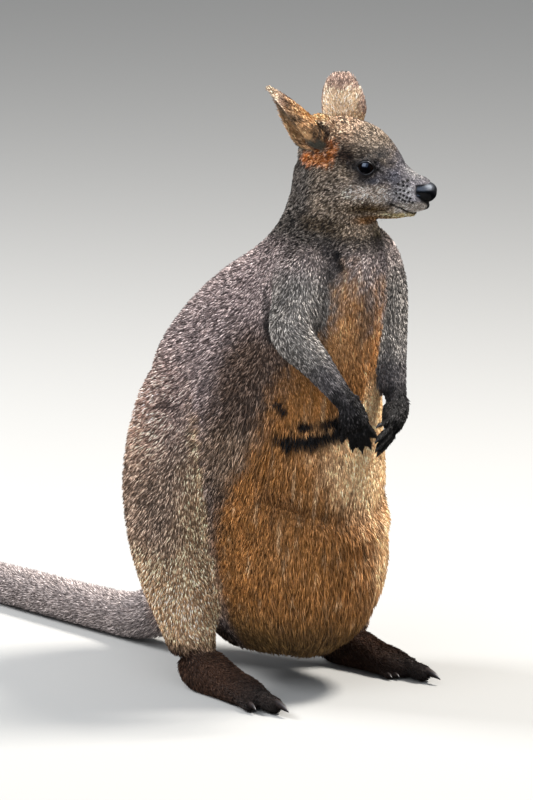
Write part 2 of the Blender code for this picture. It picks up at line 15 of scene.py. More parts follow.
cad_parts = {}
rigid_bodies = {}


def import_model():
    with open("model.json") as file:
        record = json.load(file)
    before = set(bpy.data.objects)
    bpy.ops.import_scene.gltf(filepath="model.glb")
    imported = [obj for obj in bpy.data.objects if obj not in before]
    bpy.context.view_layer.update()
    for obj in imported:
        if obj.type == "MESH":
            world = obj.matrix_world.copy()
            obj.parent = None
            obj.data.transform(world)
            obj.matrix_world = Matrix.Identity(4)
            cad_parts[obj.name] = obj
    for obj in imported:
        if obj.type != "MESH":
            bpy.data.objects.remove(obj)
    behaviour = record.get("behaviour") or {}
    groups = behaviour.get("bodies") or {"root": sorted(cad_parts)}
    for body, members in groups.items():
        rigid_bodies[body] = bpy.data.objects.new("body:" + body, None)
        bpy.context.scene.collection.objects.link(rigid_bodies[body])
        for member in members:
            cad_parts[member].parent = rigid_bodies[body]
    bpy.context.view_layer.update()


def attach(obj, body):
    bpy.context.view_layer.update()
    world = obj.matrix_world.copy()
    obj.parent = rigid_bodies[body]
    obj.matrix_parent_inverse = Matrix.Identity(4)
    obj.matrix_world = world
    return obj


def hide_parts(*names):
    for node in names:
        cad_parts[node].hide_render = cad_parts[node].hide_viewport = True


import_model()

# ---- driving dimensions, in metres ----
CORE_VOXEL = 0.0040
SKIN_VOXEL = 0.0015
CORE_SMOOTHING = 17
SKIN_TRIANGLES = 185_000
RING_STEP = 0.009
RING_SIDES = 28
NECK_TOP = Vector((0.0, -0.112, 0.585))  # the head turns about it
HEAD_YAW = math.radians(38)
HEAD_PITCH = math.radians(3)
EYE_RADIUS = 0.0098
EYE_PLACE = (0.0470, 0.0292, 0.0060)
SHOULDER = Vector((0.047, -0.124, 0.478))
FOOTPRINT_MIDDLE = Vector((0.003, 0.271, 0.0))
SIDES = {"L": 1.0, "R": -1.0}
UP = Vector((0.0, 0.0, 1.0))

TUFTS_PER_PIECE = 49_000
COAT_PIECES = ("underfur_1", "underfur_2", *(f"guard_hair_{k}" for k in range(1, 6)))


# ---- tools for making shapes ----
def metres(rows):
    """Turns rows of millimetres into metres."""
    return [tuple(value / 1000 for value in row) for row in rows]


def add_object(name, mesh):
    made = bpy.data.objects.new(name, mesh)
    bpy.context.scene.collection.objects.link(made)
    return made


def mesh_from(bm, name):
    """Ends a bmesh as a closed mesh whose faces point out."""
    bmesh.ops.recalc_face_normals(bm, faces=bm.faces)
    mesh = bpy.data.meshes.new(name)
    bm.to_mesh(mesh)
    bm.free()
    return mesh


def bmesh_of(*things):
    bm = bmesh.new()
    for thing in things:
        bm.from_mesh(thing.data)
    return bm


def piece_from(bm, name):
    return add_object(name, mesh_from(bm, name))


def smooth_rows(rows, step=RING_STEP):
    """Reads a smooth curve through rows of equal length, whose first three numbers are a place."""
    smooth = []
    for i in range(len(rows) - 1):
        here, after = rows[i], rows[i + 1]
        around = (rows[max(i - 1, 0)], here, after, rows[min(i + 2, len(rows) - 1)])
        steps = max(1, round((Vector(after[:3]) - Vector(here[:3])).length / step))
        for k in range(steps):
            t = k / steps
            weights = (
                -0.5 * t + t * t - 0.5 * t**3,
                1 - 2.5 * t * t + 1.5 * t**3,
                0.5 * t + 2 * t * t - 1.5 * t**3,
                -0.5 * t * t + 0.5 * t**3,
            )
            smooth.append([sum(w * row[c] for w, row in zip(weights, around)) for c in range(len(here))])
    smooth.append(list(rows[-1]))
    return smooth


def rounded(value, power):
    """A ring's share of its half width, fuller at the corners for a power over 2."""
    return math.copysign(abs(value) ** (2 / power), value)


def next_ring(bm, ring, edges):
    """Extrudes the edges of a ring, and gives the new ring in the same order with its edges."""
    grown = bmesh.ops.extrude_edge_only(bm, edges=edges)["geom"]
    news = {part for part in grown if isinstance(part, bmesh.types.BMVert)}
    edges = [part for part in grown if isinstance(part, bmesh.types.BMEdge) and not set(part.verts) - news]
    return [next(e.other_vert(v) for e in v.link_edges if e.other_vert(v) in news) for v in ring], edges


def loft(bm, rows, side=Vector((1, 0, 0)), power=2.0, sides=RING_SIDES, step=RING_STEP, axis=None):
    """Adds a closed tube through rows of (x, y, z, half width, half depth).

    side is the way of the half width. The rings stand across the tube, or across axis where one is given.
    """
    rows = smooth_rows(rows, step)
    centres = [Vector(row[:3]) for row in rows]
    ring = bmesh.ops.create_circle(bm, segments=sides, radius=1.0)["verts"]
    edges = first_edges = list(dict.fromkeys(edge for vert in ring for edge in vert.link_edges))
    for i, (*_, wide, deep) in enumerate(rows):
        along = axis or (centres[min(i + 1, len(rows) - 1)] - centres[max(i - 1, 0)]).normalized()
        across = (side - along * side.dot(along)).normalized()
        down = along.cross(across)
        if i > 0:
            ring, edges = next_ring(bm, ring, edges)
        for k, vert in enumerate(ring):
            turn = 2 * math.pi * k / sides
            out = across * rounded(math.cos(turn), power) * wide
            vert.co = centres[i] + out + down * rounded(math.sin(turn), power) * deep
    for rim in (first_edges, edges):
        bmesh.ops.holes_fill(bm, edges=rim, sides=sides)


def ball(bm, place, radii, turn=Matrix.Identity(4), sides=24):
    """Adds an egg shape."""
    lie = Matrix.Translation(place) @ turn @ Matrix.Diagonal((*radii, 1.0))
    bmesh.ops.create_uvsphere(bm, u_segments=sides, v_segments=sides * 5 // 8, radius=1.0, matrix=lie)


def softened(bm, factor):
    axes = {f"use_axis_{axis}": True for axis in "xyz"}
    bmesh.ops.smooth_vert(bm, verts=bm.verts, factor=factor, **axes)


def modified(thing, kind, **settings):
    modifier = thing.modifiers.new(kind.lower(), kind)
    for name, value in settings.items():
        setattr(modifier, name, value)
    return modifier


def settle(thing):
    """Replaces an object's mesh by its shape after its modifiers."""
    graph = bpy.context.evaluated_depsgraph_get()
    mesh = bpy.data.meshes.new_from_object(thing.evaluated_get(graph))
    thing.modifiers.clear()
    thing.data = mesh
    return thing


def read(items, field, wide, kind=np.float32):
    """One field of all items of a mesh, as rows of the given width."""
    flat = np.empty(len(items) * wide, kind)
    items.foreach_get(field, flat)
    return flat.reshape(-1, wide)


def places_of(mesh):
    return read(mesh.vertices, "co", 3).astype(float)


def set_places(mesh, places):
    mesh.vertices.foreach_set("co", places.astype(np.float32).ravel())
    mesh.update()


def normals_of(mesh):
    return read(mesh.vertex_normals, "vector", 3).astype(float)


def corners_of(mesh):
    """Vertex numbers of each triangle."""
    mesh.calc_loop_triangles()
    return read(mesh.loop_triangles, "vertices", 3, np.int32)


def unit(rows):
    return rows / np.maximum(np.linalg.norm(rows, axis=1, keepdims=True), 1e-9)


def ramp(value, low, high):
    """Rises softly from 0 at low to 1 at high."""
    t = np.clip((value - low) / (high - low), 0.0, 1.0)
    return t * t * (3 - 2 * t)


def ripple(places, size, phase=0.0):
    """A soft uneven pattern between about -1 and 1, whose lumps are about size across."""
    p = places / size
    x, y, z = p[:, 0] + phase, p[:, 1] + 1.7 * phase, p[:, 2] - 0.6 * phase
    first = np.sin(2.1 * x + 1.3 * np.sin(1.7 * y + 0.9 * z)) * np.sin(2.3 * y + 1.1 * np.sin(1.9 * z))
    second = np.sin(1.9 * z + 1.2 * np.sin(2.3 * x - 1.1 * y)) * np.sin(3.1 * x - 1.4 * z + 1.3)
    return 0.6 * first + 0.6 * second


def speckle(places, size):
    """A chance value from 0 to 1 that is shared inside each small cell of the given size."""
    cells = np.floor(places / size)
    mixed = np.sin(cells @ np.array((12.9898, 78.233, 37.719))) * 43758.5453
    return mixed - np.floor(mixed)


def along_line(places, start, end):
    """Distance of each place from a line, and how far along the line it lies, from 0 to 1."""
    start, end = np.array(start), np.array(end)
    run = end - start
    share = np.clip((places - start) @ run / (run @ run), 0.0, 1.0)
    return np.linalg.norm(places - start - share[:, None] * run, axis=1), share


def along_path(places, path):
    """Least distance of each place from a path of straight lines."""
    return np.min([along_line(places, a, b)[0] for a, b in zip(path, path[1:])], axis=0)


def spot(places, middle, radii):
    """1 in the middle of an egg-shaped spot, and 0 well outside it."""
    return np.exp(-(((places - np.array(middle)) / np.array(radii)) ** 2).sum(axis=1))


def marked(colours, mark, amount):
    """Lays a marking over the colours by the amount at each place, from 0 to 1."""
    amount = np.clip(amount, 0.0, 1.0)[:, None]
    return colours * (1 - amount) + mark * amount


def laid(colours, *marks):
    """Lays markings over the colours, one after the other: a colour and its amount at each place."""
    for mark, amount in marks:
        colours = marked(colours, mark, amount)
    return colours


# ---- the head's own frame: forward, left and up from the top of the neck ----
def head_matrix():
    turn = Matrix.Rotation(HEAD_YAW - math.pi / 2, 4, "Z") @ Matrix.Rotation(HEAD_PITCH, 4, "Y")
    return Matrix.Translation(NECK_TOP) @ turn


HEAD = head_matrix()
HEAD_TURN = HEAD.to_3x3()
HEAD_ROWS = np.array(HEAD_TURN)
HEAD_FORWARD = (HEAD_TURN @ Vector((1, 0, 0))).normalized()
HEAD_LEFT = (HEAD_TURN @ Vector((0, 1, 0))).normalized()


def on_head(forward, left, up):
    return HEAD @ Vector((forward, left, up))


def sided(place, side):
    """A place or way in the head's frame, on the left for a side of 1 and on the right for -1."""
    return place[0], side * place[1], place[2]


def to_head(places):
    return (places - np.array(NECK_TOP)) @ HEAD_ROWS


def from_head(places):
    return places @ HEAD_ROWS.T + np.array(NECK_TOP)


def head_loft(bm, profile, power):
    """Adds a loft along the head through rows of (forward, top, bottom, half width), in millimetres."""
    rows = [
        (*on_head(a, 0.0, (top + bottom) / 2), width, (top - bottom) / 2)
        for a, top, bottom, width in metres(profile)
    ]
    loft(bm, rows, HEAD_LEFT, power, step=0.004, axis=HEAD_FORWARD)


def head_ball(bm, place, radii, side=1):
    """Adds an egg shape that is turned with the head; a side of -1 lays it on the right."""
    ball(bm, on_head(*sided(place, side)), radii, HEAD_TURN.to_4x4())


# ---- the form under the coat, repeated from the source part ----
TRUNK = (  # x, y, z, half width, half depth, from the pouch's base up to the throat
    (0, -22, 36, 46, 60),
    (0, -17, 66, 70, 102),
    (0, -8, 110, 87, 138),
    (0, 0, 165, 98, 158),
    (0, 0, 225, 106, 164),
    (0, -4, 290, 104, 157),
    (0, -11, 350, 91, 155),
    (0, -36, 402, 76, 141),
    (0, -69, 447, 63, 120),
    (0, -101, 486, 54, 88),
    (0, -113, 520, 46, 62),
    (0, -113, 556, 38, 45),
    (0, -112, 580, 35, 41),
    (0, -116, 599, 28, 33),
)
TAIL = (  # x, y, z, half width, half depth, from inside the rump back to the tip
    (0, 60, 150, 48, 52),
    (-2, 110, 96, 42, 46),
    (-3, 155, 52, 34, 34),
    (-4, 205, 28.5, 27.5, 28),
    (-5, 270, 24, 25.5, 25.5),
    (-5, 360, 23, 24.5, 24.5),
    (-4, 450, 22, 23.5, 23.5),
    (3, 560, 19, 20.5, 20.5),
    (18, 660, 15.5, 17, 17),
    (36, 735, 11.5, 12.5, 12.5),
    (43, 760, 8.5, 3.5, 3.5),
)
HIND_LEG = (  # from the haunch down to the ankle, on the left side
    (60, 50, 365, 14, 26),
    (74, 50, 325, 31, 47),
    (87, 46, 270, 41, 57),
    (96, 38, 212, 46, 60),
    (101, 29, 156, 43, 54),
    (103, 14, 108, 37, 48),
    (103, 1, 69, 30, 35.5),
    (102, -8, 36, 24, 28),
)
ARMS = {  # elbow, wrist and the end of the middle finger
    "L": (Vector((0.058, -0.141, 0.404)), Vector((0.042, -0.178, 0.322)), Vector((0.006, -0.200, 0.288))),
    "R": (Vector((-0.080, -0.145, 0.414)), Vector((-0.048, -0.205, 0.338)), Vector((-0.037, -0.210, 0.294))),
}
LEGS = {"L": (4, -10), "R": (0, 4)}  # out and forward of the plan, in millimetres
FEET = {  # heel and toe tip on the floor, without claws
    "L": (Vector((0.098, 0.020, 0.0)), Vector((0.106, -0.158, 0.0))),
    "R": (Vector((-0.098, 0.015, 0.0)), Vector((-0.115, -0.168, 0.0))),
}
# a digit's place on its paw: sideways at the root, sideways at the tip, share of the hand's length, radius
FINGERS = (
    (-0.0100, -0.0172, 0.74, 0.0033),
    (-0.0055, -0.0090, 0.98, 0.0036),
    (0.0000, 0.0000, 1.06, 0.0037),
    (0.0055, 0.0090, 1.03, 0.0036),
    (0.0100, 0.0172, 0.84, 0.0034),
)
# a toe: name, root and tip as shares of the foot's length, root and tip sideways (outwards is +), radius, and
# its claw's length and radius
TOES = (
    ("long_toe", 0.66, 1.00, 0.001, 0.001, 0.0105, 0.024, 0.0050),
    ("outer_toe", 0.60, 0.86, 0.012, 0.0185, 0.0075, 0.016, 0.0037),
    ("combing_toe_1", 0.60, 0.80, -0.0105, -0.0145, 0.0048, 0.009, 0.0024),
    ("combing_toe_2", 0.59, 0.775, -0.0145, -0.0205, 0.0046, 0.009, 0.0024),
)
FOOT_RINGS = (  # from the heel forward: place along, height of the middle, half width and half height
    (2, 13, 8, 9),
    (12, 18, 16.5, 18),
    (32, 22, 21.5, 26),
    (55, 20, 21.5, 25),
    (85, 16, 20.5, 19),
    (115, 13, 21.5, 15.5),
    (135, 11, 17.5, 12.5),
    (148, 10, 10, 8),
)
FINGER_CLAW = 0.0070


def hind_leg(key):
    """Rows of a hind leg, in millimetres."""
    side, (out, forward) = SIDES[key], LEGS[key]
    return [(side * (x + out), y + forward, z, w, d) for x, y, z, w, d in HIND_LEG]


def arm(key):
    """Rows of a fore limb from inside the shoulder to the wrist."""
    side, (elbow, wrist, _) = SIDES[key], ARMS[key]
    return [
        (side * 0.040, -0.108, 0.498, 0.020, 0.032),
        (side * SHOULDER.x, SHOULDER.y, SHOULDER.z, 0.030, 0.038),
        (side * 0.058, -0.131, 0.447, 0.027, 0.034),
        (*elbow, 0.0225, 0.027),
        (*elbow.lerp(wrist, 0.38), 0.0180, 0.0205),
        (*elbow.lerp(wrist, 0.75), 0.0140, 0.0150),
        (*wrist, 0.0125, 0.0130),
    ]


def core():
    """Trunk, limbs and tail, which blend softly into each other."""
    bm = bmesh.new()
    loft(bm, metres(TRUNK), power=2.1, axis=UP)
    loft(bm, metres(TAIL))
    ball(bm, (0.0, -0.068, 0.158), (0.090, 0.104, 0.128))  # the pouch
    for key, side in SIDES.items():
        ball(bm, (side * 0.045, 0.045, 0.205), (0.078, 0.088, 0.120))  # half of the rump
        loft(bm, metres(hind_leg(key)), power=2.1, axis=-UP)
        loft(bm, arm(key))
    thing = piece_from(bm, "core")
    modified(thing, "REMESH", mode="VOXEL", voxel_size=CORE_VOXEL)
    modified(thing, "SMOOTH", factor=0.5, iterations=CORE_SMOOTHING)
    return settle(thing)


SKULL = (  # forward, top, bottom and half width of each ring
    (-32, 26, -24, 16),
    (-18, 44, -46, 31),
    (5, 54, -53, 37),
    (28, 55, -54, 38.5),
    (48, 48, -53, 35),
    (64, 35, -50.5, 28.5),
    (76, 21, -46, 23),
    (88, 5.5, -42.5, 19.8),
    (100, -3, -42.5, 16.6),
    (107, -4.8, -40.8, 16),
    (112, -8.6, -37.6, 14.4),
    (115.5, -12.4, -32.6, 11.2),
    (118, -16.8, -27, 6),
)
JAW = (
    (-2, -20, -44, 20),
    (14, -22, -51.5, 28.5),
    (36, -26, -54.5, 27),
    (58, -30, -54.5, 21.5),
    (78, -34, -52.5, 16),
    (89, -35, -50, 12.5),
    (97.5, -36.5, -47.5, 9),
    (102, -38.5, -44.5, 4.5),
)
FACE_LUMPS = (  # place in the head's frame and radii, on the left side
    (27, 24.5, -20, 30, 17, 26),  # cheek
    (50, 23.5, 14, 17, 9, 10.5),  # brow
    (93.5, 10.8, -27.5, 16, 8, 10.5),  # whisker pad
    (-2, 26, 36, 14, 12, 16),  # ear's root
)


def face(bm):
    head_loft(bm, SKULL, 2.25)
    head_loft(bm, JAW, 2.2)
    for side in SIDES.values():
        for lump in metres(FACE_LUMPS):
            head_ball(bm, lump[:3], lump[3:], side)
        head_ball(bm, EYE_PLACE, (EYE_RADIUS + 0.0020,) * 3, side)  # the closed lids over the eye
    head_ball(bm, (-0.006, -0.0260, 0.0450), (0.018, 0.013, 0.0155))  # the turned ear's broad root


def hand_frame(key):
    """The wrist, the hand's length, the way the fingers point, the way across the palm and its facing."""
    wrist, tip = ARMS[key][1:]
    along = (tip - wrist).normalized()
    inward = Vector((-SIDES[key] * 0.55, 0.70, 0.0))
    facing = (inward - along * inward.dot(along)).normalized()
    return wrist, (tip - wrist).length, along, along.cross(facing), facing


def finger_ends(key):
    """Root, knuckle and tip of each finger, and its radius."""
    wrist, reach, along, across, facing = hand_frame(key)
    for root_side, tip_side, share, radius in FINGERS:
        root = wrist + along * reach * 0.36 + across * root_side
        end = wrist + along * reach * share + across * tip_side + facing * 0.006
        knuckle = root.lerp(end, 0.45) - facing * 0.0035
        yield root, knuckle, end, radius


def hand(bm, key):
    wrist, reach, along, across, _ = hand_frame(key)
    rows = [(*(wrist - along * 0.012), 0.0105, 0.0105)]
    for share, wide, deep in (
        (0.06, 0.0142, 0.0142),
        (0.28, 0.0160, 0.0132),
        (0.46, 0.0158, 0.0108),
        (0.58, 0.0100, 0.0060),
    ):
        rows.append((*(wrist + along * reach * share), wide, deep))
    loft(bm, rows, across, 2.3, sides=20, step=0.004)
    for root, knuckle, end, radius in finger_ends(key):
        rows = [(*root, radius, radius), (*knuckle, radius * 1.12, radius * 1.12), (*end, radius, radius)]
        loft(bm, rows, across, sides=12, step=0.004)
        ball(bm, knuckle, (radius * 1.25,) * 3, sides=12)
        ball(bm, end, (radius * 1.08,) * 3, sides=12)


def foot_frame(key):
    """The heel, the foot's length, the way it points and its way outwards."""
    heel, tip = FEET[key]
    along = (tip - heel).normalized()
    return heel, (tip - heel).length, along, along.cross(UP) * -SIDES[key]


def toe_ends(key):
    """Name, root, tip, radius and claw of each toe of a foot."""
    heel, length, along, outward = foot_frame(key)
    for name, start, stop, side_a, side_b, radius, claw_length, claw_radius in TOES:
        root = heel + along * length * start + outward * side_a + UP * (radius + 0.004)
        end = heel + along * (length * stop - radius) + outward * side_b + UP * (radius * 0.92)
        yield name, root, end, radius, claw_length, claw_radius


def foot(bm, key):
    heel, _, along, outward = foot_frame(key)
    rows = [(*(heel + along * at + UP * mid), wide, high) for at, mid, wide, high in metres(FOOT_RINGS)]
    loft(bm, rows, outward, 2.4, sides=24, step=0.006)
    for _, root, end, radius, _, _ in toe_ends(key):
        rows = [(*root, radius, radius), (*end, radius * 0.92, radius * 0.92)]
        loft(bm, rows, outward, sides=14, step=0.005)
        ball(bm, end, (radius * 0.92,) * 3, sides=14)
        ball(bm, root.lerp(end, 0.55) + UP * (radius * 0.12), (radius * 1.02,) * 3, sides=14)


# ---- the lie of the coat ----
# place, way of the hair, length, depth of the coat over the skin and width of a tuft, all lengths in
# millimetres. On the body a place further than PAIRED_FROM off the middle stands on both sides, and on the
# head every place off the middle does.
BODY_LIE = (
    ((0, -70, 560), (0, 0.35, -1), 10.5, 4.5, 1.05),  # nape
    ((0, -165, 530), (0, -0.1, -1), 10.5, 4.5, 1.05),  # throat
    ((45, -115, 525), (0.1, 0.05, -1), 10.5, 4.5, 1.05),
    ((0, -5, 480), (0, 0.65, -0.75), 17, 6.5, 1.35),  # withers
    ((70, -115, 465), (0.15, 0.0, -1), 12.5, 5.0, 1.15),  # shoulder
    ((0, -185, 440), (0, 0.0, -1), 22, 6.0, 1.20),  # chest
    ((0, -170, 380), (0, 0.05, -1), 26, 6.5, 1.25),
    ((0, 75, 420), (0, 0.60, -0.8), 18, 7.0, 1.45),  # back
    ((85, -20, 390), (0, 0.45, -1), 18, 7.0, 1.45),
    ((0, 135, 330), (0, 0.30, -1), 19, 7.5, 1.50),
    ((105, 0, 300), (0, 0.35, -1), 19, 7.5, 1.50),  # flank
    ((0, 165, 220), (0, 0.10, -1), 20, 8.0, 1.60),  # rump
    ((85, 100, 200), (0, 0.25, -1), 20, 8.0, 1.60),
    ((0, 120, 100), (0, 0.60, -0.9), 18, 7.5, 1.60),
    ((0, -165, 300), (0, 0.0, -1), 38, 7.5, 1.40),  # belly
    ((80, -100, 280), (0, 0.10, -1), 36, 7.5, 1.40),
    ((0, -175, 170), (0, 0.05, -1), 42, 8.0, 1.45),  # pouch
    ((0, -100, 55), (0, 0.50, -1), 42, 7.0, 1.45),
    ((60, -110, 100), (0, 0.0, -1), 42, 7.0, 1.45),
    ((115, 40, 300), (0, 0.30, -1), 19, 7.5, 1.55),  # haunch
    ((145, 35, 210), (0, 0.22, -1), 19, 7.0, 1.55),  # thigh
    ((115, -30, 200), (0, -0.02, -1), 19, 7.0, 1.55),
    ((140, 10, 120), (0, -0.05, -1), 17, 6.0, 1.45),  # shank
    ((105, -35, 110), (0, -0.10, -1), 17, 6.0, 1.45),
    ((130, 0, 62), (0, -0.35, -1), 17, 4.2, 1.30),  # ankle
    ((98, 30, 40), (0, 0.30, -1), 16, 3.5, 1.25),
    ((105, -30, 45), (0, -1.0, -0.6), 18, 3.4, 1.35),  # foot
    ((108, -80, 30), (0, -1.0, -0.2), 18, 3.2, 1.30),
    ((108, -125, 22), (0, -1.0, -0.2), 14, 2.2, 1.20),
    ((110, -155, 12), (0, -1.0, -0.3), 10, 1.3, 1.00),
    ((-3, 150, 60), (0, 1.0, -0.8), 18, 7.0, 1.50),  # tail
    ((-4, 220, 28), (0, 1.0, 0), 16, 6.0, 1.45),
    ((-5, 320, 23), (0, 1.0, 0), 16, 5.8, 1.40),
    ((-4, 420, 22), (0, 1.0, 0), 15, 5.5, 1.40),
    ((0, 520, 20), (0, 1.0, 0), 15, 5.0, 1.40),
    ((11, 620, 17), (0.1, 1.0, 0), 14, 4.2, 1.30),
    ((28, 700, 13), (0.2, 1.0, 0), 13, 3.2, 1.20),
    ((43, 750, 9), (0.25, 1.0, 0), 12, 2.0, 1.00),
)
HEAD_LIE = (  # in the head's frame
    ((104, 0, -6), (-1, 0, 0.35), 1.8, 0.6, 0.44),  # bridge of the muzzle
    ((92, 18, -20), (-1, 0.25, -0.05), 1.7, 0.6, 0.44),  # whisker pad
    ((104, 11, -35), (-1, 0.25, -0.25), 1.8, 0.6, 0.44),  # lip
    ((85, 19, -34), (-1, 0.1, -0.25), 2.6, 0.9, 0.48),
    ((98, 0, -48), (-1, 0, -0.15), 2.5, 0.9, 0.48),  # chin
    ((78, 0, -54), (-1, 0, -0.10), 3.1, 1.2, 0.51),
    ((78, 0, 18), (-1, 0, 0.80), 2.6, 0.9, 0.48),
    ((78, 21, -10), (-1, 0.20, 0.05), 2.6, 0.9, 0.48),
    ((62, 0, 37), (-1, 0, 0.80), 3.0, 1.3, 0.51),
    ((45, 0, 50), (-1, 0, 0.25), 3.4, 1.8, 0.53),  # forehead
    ((30, 20, 48), (-1, 0.05, 0.10), 3.6, 2.0, 0.55),
    ((10, 0, 55), (-1, 0, 0.0), 4.4, 2.6, 0.57),  # crown
    ((-15, 0, 45), (-0.8, 0, -0.5), 5.2, 2.4, 0.60),
    ((-30, 0, 20), (-0.3, 0, -1), 6.0, 2.8, 0.62),
    ((52, 30, 24), (-1, 0.10, 0.15), 2.8, 0.9, 0.48),  # brow
    ((66, 26, 4), (-1, 0.30, 0.00), 2.2, 0.8, 0.44),
    ((52, 36, -8), (-1, 0.10, -0.20), 2.6, 0.9, 0.48),  # under the eye
    ((36, 38, 10), (-1, 0.05, -0.10), 3.0, 1.2, 0.51),
    ((60, 29, -26), (-1, 0.10, -0.30), 3.0, 1.3, 0.53),
    ((30, 40, -22), (-0.9, 0, -0.5), 3.8, 2.2, 0.57),  # cheek
    ((50, 22, -50), (-1, 0, -0.30), 3.5, 1.8, 0.55),  # jaw
    ((20, 28, -50), (-0.7, 0, -0.8), 4.8, 3.0, 0.62),
    ((10, 38, 12), (-0.9, 0, -0.5), 3.8, 2.2, 0.57),  # temple
    ((-12, 34, -15), (-0.5, 0, -1), 5.0, 2.6, 0.60),
    ((10, 0, -56), (-0.6, 0, -0.8), 5.7, 3.6, 0.66),
)
ARM_LIE = (  # stretch of the arm from the shoulder down, share of it, sizes, and how far the guide blends
    (0, 0.0, (7.5, 4.5, 0.62), 12),
    (1, 0.0, (7.0, 4.0, 0.60), 10),
    (1, 0.4, (6.0, 3.4, 0.55), 8),
    (1, 0.75, (5.5, 3.0, 0.55), 6),
    (2, 0.0, (5.2, 2.4, 0.60), 5),
    (2, 0.35, (5.0, 1.8, 0.60), 5),
    (2, 0.7, (4.2, 1.1, 0.55), 4),
    (2, 1.0, (3.0, 0.7, 0.50), 4),
)
PAIRED_FROM = 30
BODY_REACH, HEAD_REACH = 20, 6  # over how many millimetres a guide of the body and of the head blends
FINER_LENGTH, FINER_WIDTH = 0.40, 0.50  # shares of the lengths and widths above that the body's tufts keep


def lie_table():
    """Guides: a place, the way of the hair, the coat's length, depth and width, and how far they blend."""
    guides = []
    for (x, y, z), (across, back, up), length, depth, width in BODY_LIE:
        fine = (length * FINER_LENGTH, depth, width * FINER_WIDTH)
        for side in (1, -1) if x > PAIRED_FROM else (1,):
            place = np.array((side * x, y, z)) / 1000
            guides.append((place, (side * across, back, up), fine, BODY_REACH))
    for place, way, *sizes in HEAD_LIE:
        for side in (1, -1) if place[1] > 0 else (1,):
            place_out = on_head(*(np.array(sided(place, side)) / 1000))
            guides.append((place_out, HEAD_TURN @ Vector(sided(way, side)), sizes, HEAD_REACH))
    for key, side in SIDES.items():
        joints = (Vector((side * 0.075, -0.138, 0.447)), *ARMS[key])
        for stretch, share, sizes, reach in ARM_LIE:
            start, end = joints[stretch : stretch + 2]
            guides.append((start.lerp(end, share), end - start, sizes, reach))
    return guides


LIE = lie_table()


def lie_at(places):
    """The way of the hair and the coat's length, depth and width at each place."""
    total = np.zeros(len(places))
    ways, sizes = np.zeros((len(places), 3)), np.zeros((len(places), 3))
    for place, way, size, reach in LIE:
        far = ((places - np.array(place)) ** 2).sum(axis=1)
        weight = 1.0 / (far + (reach / 1000) ** 2) ** 2
        total += weight
        ways += weight[:, None] * (np.array(way) / np.linalg.norm(way))
        sizes += weight[:, None] * (np.array(size) / 1000)
    return unit(ways), sizes / total[:, None]


# ---- the skin ----
MOUTH = (  # from under the nose back to the corner, on the left side of the head
    (110.5, 0, -40),
    (105, 5, -42),
    (99.6, 9, -44.2),
    (94.6, 12, -43.6),
    (89.3, 14.5, -41.2),
    (84.2, 16.8, -38),
    (78.5, 18.8, -36),
    (73.8, 20.2, -34.7),
)
NOSE_PLACE = (0.1062, 0.0, -0.0206)
NOSE_RADII = (0.0140, 0.0150, 0.0109)
EYE_GAZE = (0.14, 0.985, 0.08)
EYE_OPENING = (1.17, 0.80)  # half angles of the opening between the lids, along and across
NO_EYE = 9.0  # stands for the share of the lids' opening where no eye is near
FACE_HOLLOWS = (  # middle, radii and depth of the soft hollows over the brow and before it
    ((0.036, 0.0, 0.054), (0.020, 0.030, 0.020), 0.0032),
    ((0.084, 0.0, 0.011), (0.009, 0.018, 0.010), 0.0028),
)
FACE_SWELLS = (  # place in the head's frame, size and push outwards, on the left side
    (72.5, 21.5, -3, 8, -1.6),  # hollow before the eye
    (98.5, 14, -14.5, 4.5, 1.2),  # wing of the nostril
    (64, 28, -19, 9, -1.0),  # hollow under the cheekbone
    (40, 38, -8, 9, 1.2),  # cheekbone
    (75, 20.5, -35, 5, -1.2),  # corner of the mouth
    (70, 22, -31, 5, 1.2),
)


def eye_frame(side):
    """An eye's centre, where it looks, and the ways along and across its opening, in the head's frame."""
    gaze = unit(np.array([sided(EYE_GAZE, side)]))[0]
    along = unit(np.array([[gaze[1] * side, -gaze[0] * side, -0.10]]))[0]
    return np.array(sided(EYE_PLACE, side)), gaze, along, np.cross(along, gaze) * side


def eye_angles(places, side):
    """Places in the head's frame as seen from an eye: distance, way, share of the lids' opening and height.

    The share is NO_EYE behind the eye.
    """
    centre, gaze, along, across = eye_frame(side)
    rel = places - centre
    far = np.linalg.norm(rel, axis=1)
    ways = rel / np.maximum(far, 1e-6)[:, None]
    ahead = ways @ gaze
    wide, high = EYE_OPENING
    sideways = np.arctan2(ways @ along, ahead) / wide
    height = np.arctan2(ways @ across, ahead)
    share = np.sqrt(sideways**2 + (height / high) ** 2) + 0.10 * np.abs(sideways) ** 3
    return far, ways, np.where(ahead > 0, share, NO_EYE), height


def lid_share(places, within):
    """The least share of the lids' opening at either eye, for places in the head's frame so near to it."""
    shares = []
    for side in SIDES.values():
        far, _, share, _ = eye_angles(places, side)
        shares.append(np.where(far < within, share, NO_EYE))
    return np.min(shares, axis=0)


def bare_nose(places):
    """How far places in the head's frame lie inside the edge of the nose's bare pad."""
    up = places[:, 2]
    edge = 0.0995 + 8.0 * np.maximum(0.0, up + 0.0116) + 1.0 * np.maximum(0.0, -0.0220 - up)
    return np.where(up > -0.036, places[:, 0] - edge, -1.0)


def boxy(x, y, z):
    """Distance from the middle of a ball with fuller corners, whose surface lies at 1."""
    return (np.abs(x) ** 2.5 + np.abs(y) ** 2.5 + np.abs(z) ** 2.5) ** 0.4


def mouth_far(places):
    """How far places in the head's frame stand from the mouth's line, as seen from the side."""
    return along_path(places * (1, 0, 1), np.array(metres(MOUTH)) * (1, 0, 1))


def hump(value, middle, width):
    """1 where a value is at the middle, and 0 well away from it."""
    return np.exp(-(((value - middle) / width) ** 2))


